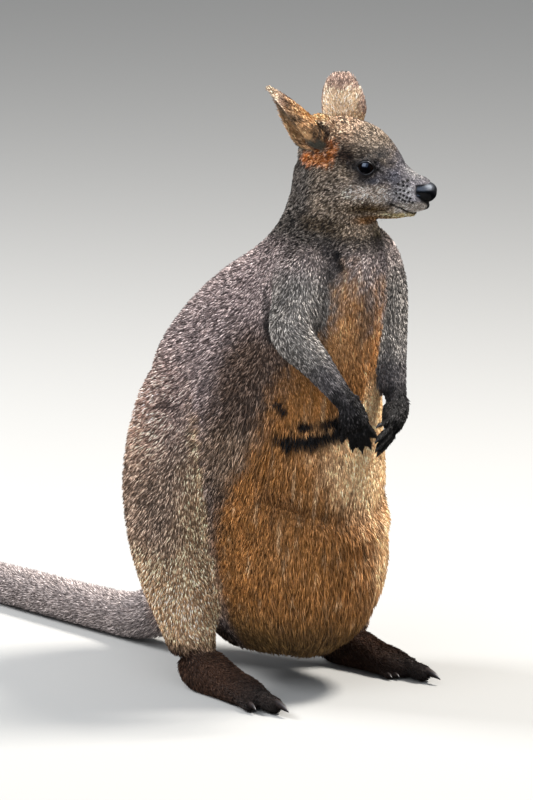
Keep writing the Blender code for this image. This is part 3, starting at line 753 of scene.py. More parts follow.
def shape_eyes(places):
    """Opens the lids over each eyeball and gives them rims."""
    for side in SIDES.values():
        far, ways, share, height = eye_angles(places, side)
        near = (share < NO_EYE) & (far < 0.024)
        opened = EYE_RADIUS * 0.72
        rim = EYE_RADIUS + 0.0011 + 0.0007 * hump(share, 1.22, 0.22) * (height > -0.1)
        crease = -0.0007 * hump(share, 1.75, 0.16) * ramp(height, 0.0, 0.3)
        lid = opened + (rim - opened) * ramp(share, 0.90, 1.10)
        settled = np.maximum(far + crease, EYE_RADIUS + 0.0006)
        loose = ramp(share, 1.25, 2.3)
        target = lid * (1 - loose) + settled * loose
        places[near] = (eye_frame(side)[0] + ways * target[:, None])[near]
    return places


def shape_head(places):
    """Lids, mouth, lips, nostril wings and the hollows of the face, on the finished skin."""
    h = to_head(places)
    on_face = (h[:, 0] > -0.03) & (np.abs(h[:, 1]) < 0.06) & (np.abs(h[:, 2]) < 0.08)
    part = shape_eyes(h[on_face])
    for middle, radii, depth in FACE_HOLLOWS:
        part[:, 2] -= depth * spot(part, middle, radii)
    mouth = np.array(metres(MOUTH))[::-1]
    for side in SIDES.values():
        far = mouth_far(part) + 0.02 * (part[:, 1] * side < -0.0005)
        outward = unit(part * (0.0, 1.0, 1.0) + (0.0, 0.0, 0.030))
        above = part[:, 2] > np.interp(part[:, 0], mouth[:, 0], mouth[:, 2])
        lips = 0.0010 * hump(far, 0.0030, 0.0018) * np.where(above, 1.0, 0.55)
        part += outward * (lips - 0.0028 * hump(far, 0.0, 0.0012))[:, None]
        for *place, size, push in metres(FACE_SWELLS):
            far = np.linalg.norm(part - sided(place, side), axis=1)
            part += outward * (push * hump(far, 0.0, size))[:, None]
    middle = np.array(NOSE_PLACE)
    rel = part - middle
    swell = boxy(*(rel / np.array(NOSE_RADII)).T)
    sunk = ramp(bare_nose(part), -0.0006, 0.0016)
    part = middle + rel * (1 + sunk * (np.minimum(0.95 / np.maximum(swell, 0.1), 1.0) - 1))[:, None]
    places[on_face] = from_head(part)
    return places


POUCH_LIP = ((20, -166, 198), (55, -143, 208), (80, -105, 222))  # lower lip of the closed pouch, left half
POUCH_FOLD = metres([(-x, y, z) for x, y, z in POUCH_LIP[::-1]] + list(POUCH_LIP))


def shape_pouch(places, normals):
    """A soft fold across the belly, with a full lip under it."""
    near = (places[:, 1] < -0.05) & (np.abs(places[:, 2] - 0.205) < 0.06)
    part = places[near]
    far = along_path(part, POUCH_FOLD)
    lip_x, _, lip_z = np.array(metres(POUCH_LIP)).T
    height = part[:, 2] - np.interp(np.abs(part[:, 0]), lip_x, lip_z)
    swell = 0.0040 * hump(height, -0.017, 0.013) * (far < 0.05) - 0.0055 * hump(far, 0.0, 0.0055)
    places[near] = part + normals[near] * swell[:, None]
    return places


def thinned(skin):
    """Brings the skin down to SKIN_TRIANGLES, and keeps more of them on the face."""
    group = skin.vertex_groups.new(name="plain")
    face_far = np.linalg.norm(to_head(places_of(skin.data)) - (0.06, 0.0, -0.005), axis=1)
    plain = ramp(face_far, 0.075, 0.11)
    levels = 5
    for level in range(levels):
        low, high = level / levels, (level + 1) / levels
        chosen = np.nonzero((plain >= low) & ((plain < high) | (level == levels - 1)))[0]
        group.add(chosen.tolist(), 0.30 + 0.70 * (level / (levels - 1)), "REPLACE")
    ratio = SKIN_TRIANGLES / len(skin.data.polygons)
    modified(skin, "DECIMATE", ratio=ratio, vertex_group="plain", vertex_group_factor=1.0)
    settle(skin)
    skin.vertex_groups.clear()
    return skin


def make_skin():
    thing = core()
    bm = bmesh_of(thing)
    bpy.data.objects.remove(thing)
    face(bm)
    for key in SIDES:
        hand(bm, key)
        foot(bm, key)
    skin = piece_from(bm, "skin")
    modified(skin, "REMESH", mode="VOXEL", voxel_size=SKIN_VOXEL)
    modified(skin, "SMOOTH", factor=0.5, iterations=5)
    settle(skin)
    places, normals = places_of(skin.data), normals_of(skin.data)
    places -= normals * lie_at(places)[1][:, 1:2]
    places = shape_head(shape_pouch(places, normals))
    places[:, 2] = np.maximum(places[:, 2], 0.0)
    set_places(skin.data, places)
    modified(skin, "TRIANGULATE")
    skin = thinned(settle(skin))
    skin.data.name = "skin"
    return skin


# ---- the ears ----
EARS = {  # root, tip and the ways the cup opens at its root and at its tip, in the head's frame
    "L": ((0.009, 0.027, 0.032), (0.003, 0.033, 0.0975), (0.10, 1.0, 0.0), (0.10, 1.0, 0.0)),
    "R": ((-0.009, -0.027, 0.037), (-0.0625, -0.045, 0.0845), (-0.60, -0.62, -0.50), (-0.80, -0.26, -0.54)),
}
EAR_SHAPES = {  # share of the length, radius, half of the angle that the shell wraps, degrees
    "L": (
        (-0.18, 0.0075, 165),
        (0.00, 0.0140, 154),
        (0.15, 0.0190, 135),
        (0.32, 0.0226, 108),
        (0.50, 0.0230, 88),
        (0.68, 0.0214, 74),
        (0.84, 0.0178, 62),
        (0.93, 0.0128, 54),
        (0.965, 0.0050, 50),
    ),
    "R": (
        (-0.20, 0.0085, 165),
        (0.00, 0.0180, 142),
        (0.15, 0.0210, 120),
        (0.32, 0.0208, 102),
        (0.50, 0.0198, 86),
        (0.68, 0.0174, 74),
        (0.84, 0.0126, 62),
        (0.95, 0.0070, 54),
        (0.985, 0.0050, 50),
    ),
}
EAR_BOW = {"L": 0.006, "R": -0.001}
EAR_WALL = 0.0016
EAR_ROWS, EAR_COLUMNS = 44, 36


def make_ear(key):
    """A thin cupped shell that is rolled at its root and opens towards its rounded tip."""
    root, tip, low, high = (Vector(v) for v in EARS[key])
    axis = (tip - root).normalized()
    shares, radii, wraps = zip(*EAR_SHAPES[key])
    bm = bmesh.new()
    bmesh.ops.create_grid(bm, x_segments=EAR_ROWS, y_segments=EAR_COLUMNS, size=0.5)
    for vert in bm.verts:
        share = shares[0] + (vert.co.x + 0.5) ** 0.9 * (shares[-1] - shares[0])
        radius = float(np.interp(share, shares, radii))
        turn = math.radians(float(np.interp(share, shares, wraps))) * vert.co.y * 2
        opening = low.lerp(high, share)
        opening = (opening - axis * opening.dot(axis)).normalized()
        side = axis.cross(opening)
        place = root + (tip - root) * share - opening * EAR_BOW[key] * math.sin(math.pi * share)
        curl = 0.0012 * math.cos(turn * 2) * math.sin(math.pi * share)
        place += side * radius * math.sin(turn) - opening * (radius * (math.cos(turn) - 0.55) * 0.80 + curl)
        vert.co = HEAD @ place
    softened(bm, 0.4)
    thing = piece_from(bm, f"ear_shell_{key}")
    modified(thing, "SOLIDIFY", thickness=EAR_WALL, offset=0.0, use_even_offset=False)
    thing.data = mesh_from(bmesh_of(settle(thing)), thing.name)
    modified(thing, "TRIANGULATE")
    return settle(thing)


def ear_frame(places, key):
    """Share of the ear's length at places, their distance to its side, and its axis, opening and side."""
    root, tip, low, high = (np.array(v) for v in EARS[key])
    length = np.linalg.norm(tip - root)
    axis = (tip - root) / length
    rel = to_head(places) - root
    share = rel @ axis / length
    opening = low + (high - low) * np.clip(share, 0.0, 1.0)[:, None]
    opening = unit(opening - axis * (opening @ axis)[:, None])
    side = np.cross(axis, opening)
    return share, (rel * side).sum(axis=1), axis, opening, side


# ---- markings ----
def tone(*screen):
    """A colour from its screen values, 0 to 255."""
    return np.array([((c / 255 + 0.055) / 1.055) ** 2.4 if c > 10 else c / 255 / 12.92 for c in screen])


BACK_GREY = tone(160, 143, 141)
BACK_WARM = tone(232, 192, 172)
SHOULDER_GREY = tone(148, 142, 137)
NECK_GREY = tone(92, 84, 78)
FLANK_BROWN = tone(92, 67, 46)
THIGH_BROWN = tone(166, 140, 121)
SHANK_TAN = tone(230, 188, 146)
BELLY_ORANGE = tone(170, 116, 60)
BELLY_PALE = tone(255, 214, 166)
LOW_BELLY_SHADE = tone(116, 88, 50)
CHEST_ORANGE = tone(212, 156, 100)
POUCH_DEEP_SHADE = tone(92, 58, 28)
POUCH_SOFT_SHADE = tone(120, 78, 40)
THROAT_BUFF = tone(66, 49, 24)
FOREARM_GREY = tone(96, 91, 92)
COAT_BLACK = tone(18, 15, 14)
FOOT_BROWN = tone(66, 43, 29)
TAIL_GREY = tone(164, 152, 149)
RUFOUS = tone(208, 112, 20)
CROWN_BROWN = tone(180, 145, 116)
FOREHEAD_BROWN = tone(148, 129, 110)
CHEEK_GREY = tone(244, 224, 208)
MUZZLE_GREY = tone(100, 96, 102)
LIP_PALE = tone(190, 178, 168)
CHIN_BUFF = tone(246, 224, 164)
EYE_DARK = tone(40, 36, 38)
EAR_CREAM = tone(252, 222, 186)
EAR_BROWN = tone(164, 136, 121)
EAR_INSIDE = tone(84, 82, 72)
EAR_ORANGE = tone(206, 156, 100)
FLANK_MAUVE = tone(160, 133, 110)
THIGH_EDGE = tone(216, 176, 134)
TEMPLE_BROWN = tone(50, 33, 22)
WHISKER_GREY = tone(228, 222, 226)
SLATE = tone(101, 103, 117)
JAW_OLIVE_SHADE = tone(92, 66, 14)
JAW_ORANGE = tone(160, 108, 44)
BRIDGE_PALE = tone(152, 149, 148)

BELLY_EDGE = (  # height, and the half angle round from the front that the orange of the belly reaches
    (30, 88),
    (50, 82),
    (120, 74),
    (190, 66),
    (240, 56),
    (287, 43),
    (333, 37),
    (357, 32),
    (390, 26),
    (420, 18),
    (450, 12),
    (472, 2),
    (500, -20),
)
BELLY_BARS = (  # dark bars and a spot on the belly: two ends and a radius
    ((-51.4, -131.2, 304.6), (-25.4, -149.4, 308.8), 6.6),
    ((-68.8, -110.7, 287.8), (-61.5, -121.6, 284.5), 6.6),
    ((-61.5, -121.6, 284.5), (-46.3, -136.9, 287.1), 8),
    ((-46.3, -136.9, 287.1), (-18.1, -151.2, 296.8), 8.8),
    ((-67.7, -108, 327), (-63.2, -115.8, 318.9), 4.6),
)
COAT_CREASE_SHADE = (  # painted shade in folds of the coat: two ends, radius and strength
    ((-108, 48, 308), (-104, 5, 298), 7, 0.45),
    ((-112, -35, 230), (-102, -54, 190), 6, 0.30),
)
SHOULDER_STREAKS_AND_SHADE = (  # dark streaks at the front of the shoulder, and painted shade in the fold behind it: two ends, radius and strength
    ((-34, -165, 497), (-32, -172, 482), 5.5, 1.00),
    ((-40, -156, 512), (-44, -168, 468), 8, 0.55),
    # painted shade in the fold between the arm and the body
    ((-63.9, -80.5, 448), (-70.6, -95.2, 400), 6.5, 0.95),
)
WHISKER_ROOTS = (  # forward and up, in rows from the nostril down to the lip
    ((90.5, -7.2), (86.3, -8.5)),
    ((90.8, -12.7), (86.5, -12.4), (81.1, -11)),
    ((92.2, -19.7), (87.9, -17.8), (83.6, -17), (79, -16.5)),
    ((95, -25.8), (91.2, -25), (87.7, -23.2), (83.8, -21.3), (79.5, -21.1)),
    ((97.8, -30.2), (94.3, -29.2), (89.5, -29.6), (86.4, -28.3), (83.1, -25.7)),
)
RUFOUS_SPOTS = (  # middle, radii and strength of the parts of the rufous patch below the ear
    ((-2, 36, 10), (13, 24, 10), 1.0),
    ((9, 35, 24), (7, 20, 11), 0.9),
    ((-18, 30, 9), (10, 20, 8), 1.0),
    ((-6, 42, 30), (8, 20, 8), 0.8),
)
BROW_SPOTS = (  # middle and size of the dark spots before and over the eye
    ((60.5, 26, 20), 4.0),
    ((56.3, 30, 14.2), 2.8),
    ((71, 21, 11), 3.5),
)


def leg_shares(p, uneven):
    """How far places, in millimetres, belong to a hind leg, and to its inner side."""
    x, y, z = p.T
    leg, inner = np.zeros(len(p)), np.zeros(len(p))
    for key, side in SIDES.items():
        rows = np.array(hind_leg(key))[::-1]
        middle_x, middle_y, wide, deep = (np.interp(z, rows[:, 2], rows[:, k]) for k in (0, 1, 3, 4))
        away = np.sqrt(((x - middle_x) / wide) ** 2 + ((y - middle_y) / deep) ** 2)
        here = ramp(away + uneven * 0.14, 1.27, 0.98) * ramp(z, 370, 330)
        leg = np.maximum(leg, here)
        inner = np.maximum(inner, here * ramp((x - middle_x) * side / wide, -0.15, -0.55))
    return leg * (1 - ramp(z, 220, 320) * ramp(y, -20, 30)), inner


def orange_coat(p, uneven, front):
    """The orange of chest, belly and pouch with its pale patch and its darker streaks."""
    x, _, z = p.T
    streak = ripple(p * (1, 1, 0.22), 4.5, 6.0)
    pale_strands = ripple(p * (1, 1, 0.15), 6, 4.0)
    dark_strands = ripple(p * (1, 1, 0.3), 9, 9.0)
    start = 8 - 53 * ramp(z, 160, 250)
    top = 325 + 45 * ramp(x, -5, 20)
    pale = ramp(x + uneven * 16 - start, -18, 44) * ramp(z, 70, 150)
    pale *= ramp(z + uneven * 10, top, top - 50) * ramp(x + uneven * 10, 100, 62)
    orange = laid(
        np.tile(BELLY_ORANGE, (len(p), 1)),
        # painted shade: the belly darker towards the floor
        (LOW_BELLY_SHADE, ramp(z, 110, 50)),
        (CHEST_ORANGE, ramp(z, 340, 400)),
        (BELLY_PALE, pale),
    )
    return laid(
        orange * (1 + 0.32 * streak + 0.16 * uneven)[:, None],
        (BELLY_PALE, ramp(pale_strands, 0.45, 1.0) * ramp(z, 60, 120) * 0.45),
        (FLANK_BROWN, ramp(streak + uneven * 0.5, 0.45, 0.95) * ramp(front, 1.0, 0.75) * 0.8),
        (FLANK_BROWN, ramp(dark_strands, 0.3, 0.9) * 0.35),
    )


def arm_markings(places, uneven, colours, grizzle):
    """Lays the grey of the arms, which turns black at the hands, over the colours."""
    for key in SIDES:
        elbow, wrist, tip = ARMS[key]
        upper, upper_share = along_line(places, arm(key)[1][:3], elbow)
        fore, fore_share = along_line(places, elbow, wrist)
        paw, paw_share = along_line(places, wrist, tip)
        upper, fore, paw = upper * 1000, fore * 1000, paw * 1000
        on_fore = ramp(fore + uneven * 4, 31 - 12 * fore_share, 27 - 12 * fore_share)
        on_paw = ramp(paw, 26, 22)
        flecks = (speckle(places, 0.0014) > 0.80) * ramp(paw_share, 1.0, 0.2)
        colours = laid(
            colours,
            (SHOULDER_GREY, ramp(upper + uneven * 8, 42, 31) * ramp(upper_share, 0.1, 0.5)),
            (SHOULDER_GREY, on_fore),
            (FOREARM_GREY, on_fore * ramp(fore_share + uneven * 0.1, 0.25, 0.60)),
            (COAT_BLACK, on_fore * ramp(fore_share + uneven * 0.15, 0.72, 1.10)),
            (COAT_BLACK * 1.2, on_paw * ramp(paw_share + uneven * 0.1, -0.25, 0.12)),
            (FOREARM_GREY, on_paw * flecks * 0.5),
        )
        grizzle = np.maximum(grizzle, np.maximum(ramp(upper, 36, 32), on_fore) * (1 - on_paw) * 0.9)
    return colours, grizzle


def body_markings(places):
    """Coat colour and how grizzled it is on the body. Lengths are in millimetres here."""
    p = places * 1000
    x, y, z = p.T
    uneven = ripple(p, 18) * 0.5 + ripple(p, 7, 2.0) * 0.5
    rows = np.array(TRUNK)
    before = np.interp(z, rows[:, 2], rows[:, 1]) - y
    round_front = np.degrees(np.arctan2(np.abs(x), before))
    round_bib = np.degrees(np.arctan2(np.abs(x + 20 * ramp(z, 360, 410)), before))
    flank = ramp(round_front + uneven * 8, 100, 62) * ramp(z, 430, 380)
    colours = laid(
        np.tile(BACK_GREY, (len(p), 1)),
        (BACK_WARM, ramp(z, 380, 260) * ramp(y, -20, 90)),
        (FLANK_BROWN, flank * 0.85),
        (FLANK_MAUVE, flank * ramp(z, 310, 280) * ramp(z, 200, 250) * 0.7),
        (SHOULDER_GREY, spot(p, (0, -140, 455), (160, 50, 35))),
        (NECK_GREY, ramp(z + uneven * 6, 480, 515)),
        (THROAT_BUFF, ramp(z, 490, 530) * ramp(round_front, 50, 20) * 0.8),
    )
    leg, inner = leg_shares(p, uneven)
    leg_colours = laid(
        np.tile(THIGH_BROWN, (len(p), 1)),
        (THIGH_EDGE, ramp(y + uneven * 8, 12, -22) * 0.8),
        (SHANK_TAN, ramp(z + uneven * 10, 180, 90)),
    )
    # the orange front
    reach = np.interp(z, *np.array(BELLY_EDGE).T) + uneven * (6 + 12 * ramp(z, 340, 420))
    front = ramp((reach - round_bib) / (9 + 12 * ramp(z, 360, 440)), -1, 1) * ramp(y, 30, -20)
    front *= 1 - leg * (1 - inner)
    fold = along_path(places, POUCH_FOLD) * 1000
    foot_far = np.min([along_line(places * (1, 1, 0), *FEET[key])[0] for key in SIDES], axis=0) * 1000
    on_foot = ramp(foot_far, 50, 40) * ramp(z + uneven * 8, 62, 38)
    tail = ramp(y, 115, 170) * ramp(z, 120, 90)
    colours = laid(
        colours,
        (leg_colours, leg),
        (orange_coat(p, uneven, front), front),
        (NECK_GREY, spot(p, (-4, -170, 430), (8, 50, 35)) * front * 0.6),
        # painted shade in the pouch's fold: dark in it and softer around it
        (POUCH_DEEP_SHADE, hump(fold, 0, 7.5) * 0.75 * (y < -50)),
        (POUCH_SOFT_SHADE, hump(fold, 0, 18) * 0.35 * (y < -50)),
        (FLANK_BROWN * 0.6, ramp(z, 90, 50) * ramp(y, -60, 0) * (1 - leg) * (y < 130)),
        (FOOT_BROWN, on_foot),
        (COAT_BLACK * 2.0, ramp(y, -70, -140) * on_foot * 0.85),
        (TAIL_GREY, tail),
        (COAT_BLACK * 2.2, ramp(y, 450, 740) * 0.85),
    )
    grizzle = (1 + 0.40 * ramp(z, 470, 510)) * (1 - front * 0.55) * (1 - 0.4 * tail)
    colours, grizzle = arm_markings(places, uneven, colours, grizzle)
    for start, end, radius in BELLY_BARS:
        far = along_line(p, start, end)[0] + uneven * 2.2
        colours = marked(colours, COAT_BLACK, ramp(far, radius * 1.5, radius * 0.7))
    # dark streaks, and painted shade in the fold behind the shoulder and in the folds of the coat
    for start, end, radius, strength in SHOULDER_STREAKS_AND_SHADE + COAT_CREASE_SHADE:
        far = along_line(p, start, end)[0] + uneven * 3
        colours = marked(colours, COAT_BLACK, ramp(far, radius * 1.6, radius * 0.5) * strength)
    return colours, grizzle


def mirrored(h):
    """Places in the head's frame, all laid on its left side."""
    return np.stack([h[:, 0], np.abs(h[:, 1]), h[:, 2]], axis=1)


def ear_root_markings(h, colours):
    """Lays the rufous patch, black streaks and cream fur round the foot of an ear over the colours."""
    m = mirrored(h)
    uneven = ripple(h, 7, 1.0) * 0.5 + ripple(h, 3, 3.0) * 0.5
    streaks = ripple(h * (1, 1, 0.35), 2.6, 5.0)
    cream = spot(m, (-9, 34, 61), (17, 20, 9))
    dark = spot(m, (-3, 40, 41), (10, 20, 13))
    rufous = sum(spot(m, middle, radii) * strength for middle, radii, strength in RUFOUS_SPOTS)
    broken = (uneven * 0.35 + streaks * 0.40) * ramp(rufous, 0.05, 0.30)
    rufous = ramp(rufous + broken, 0.15, 1.10)
    colours = laid(
        colours,
        (EAR_ORANGE, ramp(cream + uneven * 0.15, 0.25, 0.70)),
        (RUFOUS, rufous * 0.9),
        (COAT_BLACK * 2.0, ramp(dark + streaks * 0.45, 0.45, 0.80) * 0.9),
        (COAT_BLACK * 2.0, ramp(streaks, 0.35, 0.8) * rufous * 0.5),
    )
    return colours, rufous


def head_markings(places, colours, grizzle):
    """Lays the head's markings over the colours, where the head reaches. Lengths are in millimetres here."""
    h = to_head(places) * 1000
    m = mirrored(h)
    a, b, c = m.T  # forward, out and up
    uneven = ripple(h, 9, 1.0) * 0.5 + ripple(h, 4, 3.0) * 0.5
    on = ramp(a + c * 0.35, -50, -30) * ramp(c, -75, -62)
    chin = ramp(c + uneven * 3, -42, -47) * ramp(a + uneven * 10, 52, 84)
    under_jaw = ramp(c, -46, -51) * ramp(c, -58.5, -53.5) * ramp(a, 30, 50)
    lip = ramp(a + uneven * 8, 70, 86) * ramp(c + uneven * 2, -28, -34) * ramp(c, -46, -42)
    band = along_path(m, ((60, 29, 4), (74, 23, -2)))
    eye_share = lid_share(h / 1000, 0.022)
    head = laid(
        np.tile(FOREHEAD_BROWN, (len(h), 1)),
        (CROWN_BROWN, ramp(a, 45, 15) * ramp(c, 20, 40)),
        (NECK_GREY, ramp(a, 0, -20) * ramp(c, 30, 0)),
        (CHEEK_GREY, spot(m, (48, 36, -21), (22, 30, 9))),
        (CHEEK_GREY, spot(m, (68, 24, -26), (16, 20, 7)) * 0.9),
        (NECK_GREY, spot(m, (8, 36, -22), (22, 30, 18)) * 0.4),
        (TEMPLE_BROWN, spot(m, (22, 37, 19), (15, 20, 13)) * (1.1 + 0.5 * uneven)),
        (NECK_GREY, spot(m, (62, 25, 21), (15, 20, 13))),
        # olive-brown of the jaw, darkened as painted shade under the cheek
        (JAW_OLIVE_SHADE, spot(m, (52, 24, -40), (26, 30, 5.5)) * 0.95),
        (CHIN_BUFF, chin * 0.9),
        (JAW_ORANGE, under_jaw * 0.8),
        (THROAT_BUFF * 0.8, ramp(c, -44, -56) * ramp(a, 45, 15) * 0.8),
        (MUZZLE_GREY, ramp(a + uneven * 4, 62, 80) * ramp(c, -38, -32)),
        (BRIDGE_PALE, spot(h, (94, 0, 0), (14, 10, 8))),
        (WHISKER_GREY, spot(m, (88, 19, -22), (13, 20, 10))),
        (LIP_PALE, lip),
        (SLATE, ramp(band + uneven * 3, 11, 4) * 0.6),
        (SLATE, spot(m, (56, 32, -8), (15, 16, 6)) * 0.95),
        (EYE_DARK, ramp(eye_share + uneven * 0.2, 2.4, 1.5) * 0.9),
        *((EYE_DARK, spot(m, middle, (size, 12, size * 0.9)) * 0.85) for middle, size in BROW_SPOTS),
        (COAT_BLACK, ramp(eye_share, 1.35, 1.12)),
        *((COAT_BLACK, spot(m, corner, (4.5, 10, 2.2)) * 0.9) for corner in ((60, 27, 4.2), (36.2, 33, 5))),
    )
    head, rufous = ear_root_markings(h, head)
    roots = [root for row in WHISKER_ROOTS for root in row]
    root_far = np.min([np.hypot(a - forward, c - up) for forward, up in roots], axis=0)
    head = laid(
        head,
        (COAT_BLACK, ramp(root_far, 2.0, 1.3) * ramp(b, 8, 12)),
        (COAT_BLACK, ramp(mouth_far(h / 1000) * 1000, 1.9, 0.9)),
        (COAT_BLACK, spot(m, (75, 19.5, -33), (3.2, 10, 3.4)) * 0.85),
        (COAT_BLACK, ramp(a, 106, 109.5) * ramp(c, -27, -29) * ramp(b, 8.5, 5.5)),
        (COAT_BLACK, ramp(bare_nose(h / 1000) * 1000, -1.6, 0.4)),
    )
    calm = ramp(a, 60, 85) * 0.35 + rufous * 0.1
    return marked(colours, head, on), grizzle * (1 - on) + on * (1.32 - calm)


def ear_markings(places, normals, key):
    """The ear's coat: cream in the middle of its back, brown at the top and the rims, dark inside."""
    share, side_way, _, opening, _ = ear_frame(places, key)
    h = to_head(places) * 1000
    uneven = ripple(h, 6, 4.0) * 0.5 + ripple(h, 2.5, 1.0) * 0.5
    inside = ramp(((normals @ HEAD_ROWS) * opening).sum(axis=1), -0.05, 0.25)
    edge = np.abs(side_way) / 0.022
    colours = np.tile(EAR_BROWN, (len(places), 1))
    if key == "L":
        cream = ramp(share + uneven * 0.12, 0.78, 0.55) * ramp(edge + uneven * 0.1, 1.0, 0.72)
        colours = laid(colours, (EAR_CREAM, cream), (EAR_ORANGE, ramp(share, 0.35, 0.18) * 0.5))
        deep = ramp(edge, 1.05, 0.85)
    else:
        streaks = ripple(np.stack([side_way, share * 0.03, share * 0], axis=1), 0.0042, 2.0)
        colours = laid(
            colours,
            (EAR_ORANGE, ramp(share + uneven * 0.1, 0.80, 0.55) * 0.75),
            (EAR_CREAM * 0.8, ramp(share + uneven * 0.15, 0.72, 0.85) * 0.5),
            (TEMPLE_BROWN * 0.8, ramp(streaks, 0.10, 0.60) * ramp(share, 0.85, 0.65) * 0.75),
        )
        colours = ear_root_markings(h, colours)[0]
        deep = ramp(edge + uneven * 0.1, 0.95, 0.70) * ramp(share, 0.80, 0.50)
    return marked(colours, EAR_INSIDE, inside * deep), np.full(len(places), 0.8)


# ---- finishes ----
def finish(name, roughness, colour=None, **sockets):
    """A material whose fixed values stand on the shader's own sockets."""
    made = bpy.data.materials.new(name)
    made.use_nodes = True
    inputs = shader_of(made).inputs
    inputs["Roughness"].default_value = roughness
    if colour is not None:
        inputs["Base Color"].default_value = (*colour, 1.0)
    for socket, value in sockets.items():
        inputs[socket.replace("_", " ")].default_value = value
    return made


def shader_of(material):
    return material.node_tree.nodes["Principled BSDF"]


def node(material, kind, **inputs):
    made = material.node_tree.nodes.new(kind)
    for name, value in inputs.items():
        made.inputs[name.replace("_", " ")].default_value = value
    return made


def linked(material, source, target):
    material.node_tree.links.new(source, target)


def pattern(material, kind, output, **inputs):
    """A texture that reads the piece's own places; gives its output."""
    place = node(material, "ShaderNodeTexCoord")
    texture = node(material, kind, **inputs)
    linked(material, place.outputs["Object"], texture.inputs["Vector"])
    return texture.outputs[output]


def stretched(material, value, **limits):
    """A value whose range is laid on another one."""
    made = node(material, "ShaderNodeMapRange", **limits)
    linked(material, value, made.inputs["Value"])
    return made.outputs["Result"]


def stepped_colour(material, value, *stops):
    """The base colour from a value, by stops of a position and a colour."""
    steps = node(material, "ShaderNodeValToRGB")
    for element, (position, colour) in zip(steps.color_ramp.elements, stops):
        element.position, element.color = position, (*colour, 1)
    linked(material, value, steps.inputs["Fac"])
    linked(material, steps.outputs["Color"], shader_of(material).inputs["Base Color"])


def bumped(material, height, strength, distance):
    bump = node(material, "ShaderNodeBump", Strength=strength, Distance=distance)
    linked(material, height, bump.inputs["Height"])
    linked(material, bump.outputs["Normal"], shader_of(material).inputs["Normal"])


def coat_finish(name, roughness, bump_size, bump_height):
    """Hair colour from the marking attribute, broken up by fine streaks."""
    made = finish(name, roughness, Sheen_Weight=0.05, Sheen_Roughness=0.5, Specular_IOR_Level=0.2)
    marks = node(made, "ShaderNodeAttribute")
    marks.attribute_name = "markings"
    noise = pattern(made, "ShaderNodeTexNoise", "Fac", Scale=1 / bump_size, Detail=3.0, Roughness=0.6)
    gain = node(made, "ShaderNodeVectorMath")
    gain.operation = "SCALE"
    linked(made, marks.outputs["Color"], gain.inputs[0])
    spread = stretched(made, noise, From_Min=0.3, From_Max=0.7, To_Min=0.80, To_Max=1.16)
    linked(made, spread, gain.inputs["Scale"])
    linked(made, gain.outputs["Vector"], shader_of(made).inputs["Base Color"])
    bumped(made, noise, 0.5, bump_height)
    return made


def paint(mesh, colours):
    """Keeps a colour for each vertex as the markings attribute."""
    attribute = mesh.attributes.new("markings", "FLOAT_COLOR", "POINT")
    rgba = np.ones((len(colours), 4), np.float32)
    rgba[:, :3] = np.clip(colours, 0, 1)
    attribute.data.foreach_set("color", rgba.ravel())


def finished(thing, material, slot, *nodes, smooth=True):
    """Gives a piece its finish and its place in the row's frame; its slot is not used."""
    thing.data.materials.clear()
    thing.data.materials.append(material)
    thing.data.transform(Matrix.Translation(-FOOTPRINT_MIDDLE))
    thing.data.polygons.foreach_set("use_smooth", np.full(len(thing.data.polygons), smooth))
    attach(thing, "root")
    if nodes:
        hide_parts(*nodes)
    return thing


# ---- the hide: skin and ears as one set of arrays, on which the coat stands ----
def flowing(ways, normals):
    """The hair's way along the surface."""
    return unit(ways - normals * (ways * normals).sum(axis=1, keepdims=True))


def skin_part(skin):
    """Places, normals, ways, sizes, colours, grizzle and bareness at each vertex of the skin."""
    places, normals = places_of(skin.data), normals_of(skin.data)
    ways, sizes = lie_at(places)
    ways = flowing(ways, normals)
    showing = places + ways * (0.5 * sizes[:, :1])
    colours, grizzle = head_markings(showing, *body_markings(showing))
    h = to_head(places)
    bare = ramp(lid_share(h, 0.016), 1.35, 1.2)
    bare = np.maximum(bare, bare_nose(h) > -0.0006)
    bare = np.maximum(bare, (places[:, 2] < 0.0012) & (normals[:, 2] < -0.5))
    return places, normals, ways, sizes, colours, grizzle, bare


def ear_part(ear, key):
    """The same of an ear, whose inside is nearly bare."""
    places, normals = places_of(ear.data), normals_of(ear.data)
    share, side_way, axis, opening, side = ear_frame(places, key)
    ways = (axis + side * (side_way / 0.03)[:, None]) @ HEAD_ROWS.T
    inside = ramp(((normals @ HEAD_ROWS) * opening).sum(axis=1), -0.05, 0.3)
    ragged = (1 - inside) * (key == "R")
    length = 0.0052 - 0.0012 * share + 0.0014 * ragged
    depth = 0.0013 * (1 - inside * 0.3) + 0.0014 * ragged
    sizes = np.stack([length, depth, np.full(len(places), 0.00065)], axis=1)
    return places, normals, flowing(ways, normals), sizes, *ear_markings(places, normals, key), inside * 0.75


def hide_of(skin, ears):
    """All parts' values at each vertex, and the triangles between them."""
    parts = [skin_part(skin)] + [ear_part(ear, key) for key, ear in ears.items()]
    triangles, start = [], 0
    for thing in (skin, *ears.values()):
        triangles.append(corners_of(thing.data) + start)
        start += len(thing.data.vertices)
    return [np.concatenate(columns) for columns in zip(*parts)], np.concatenate(triangles)


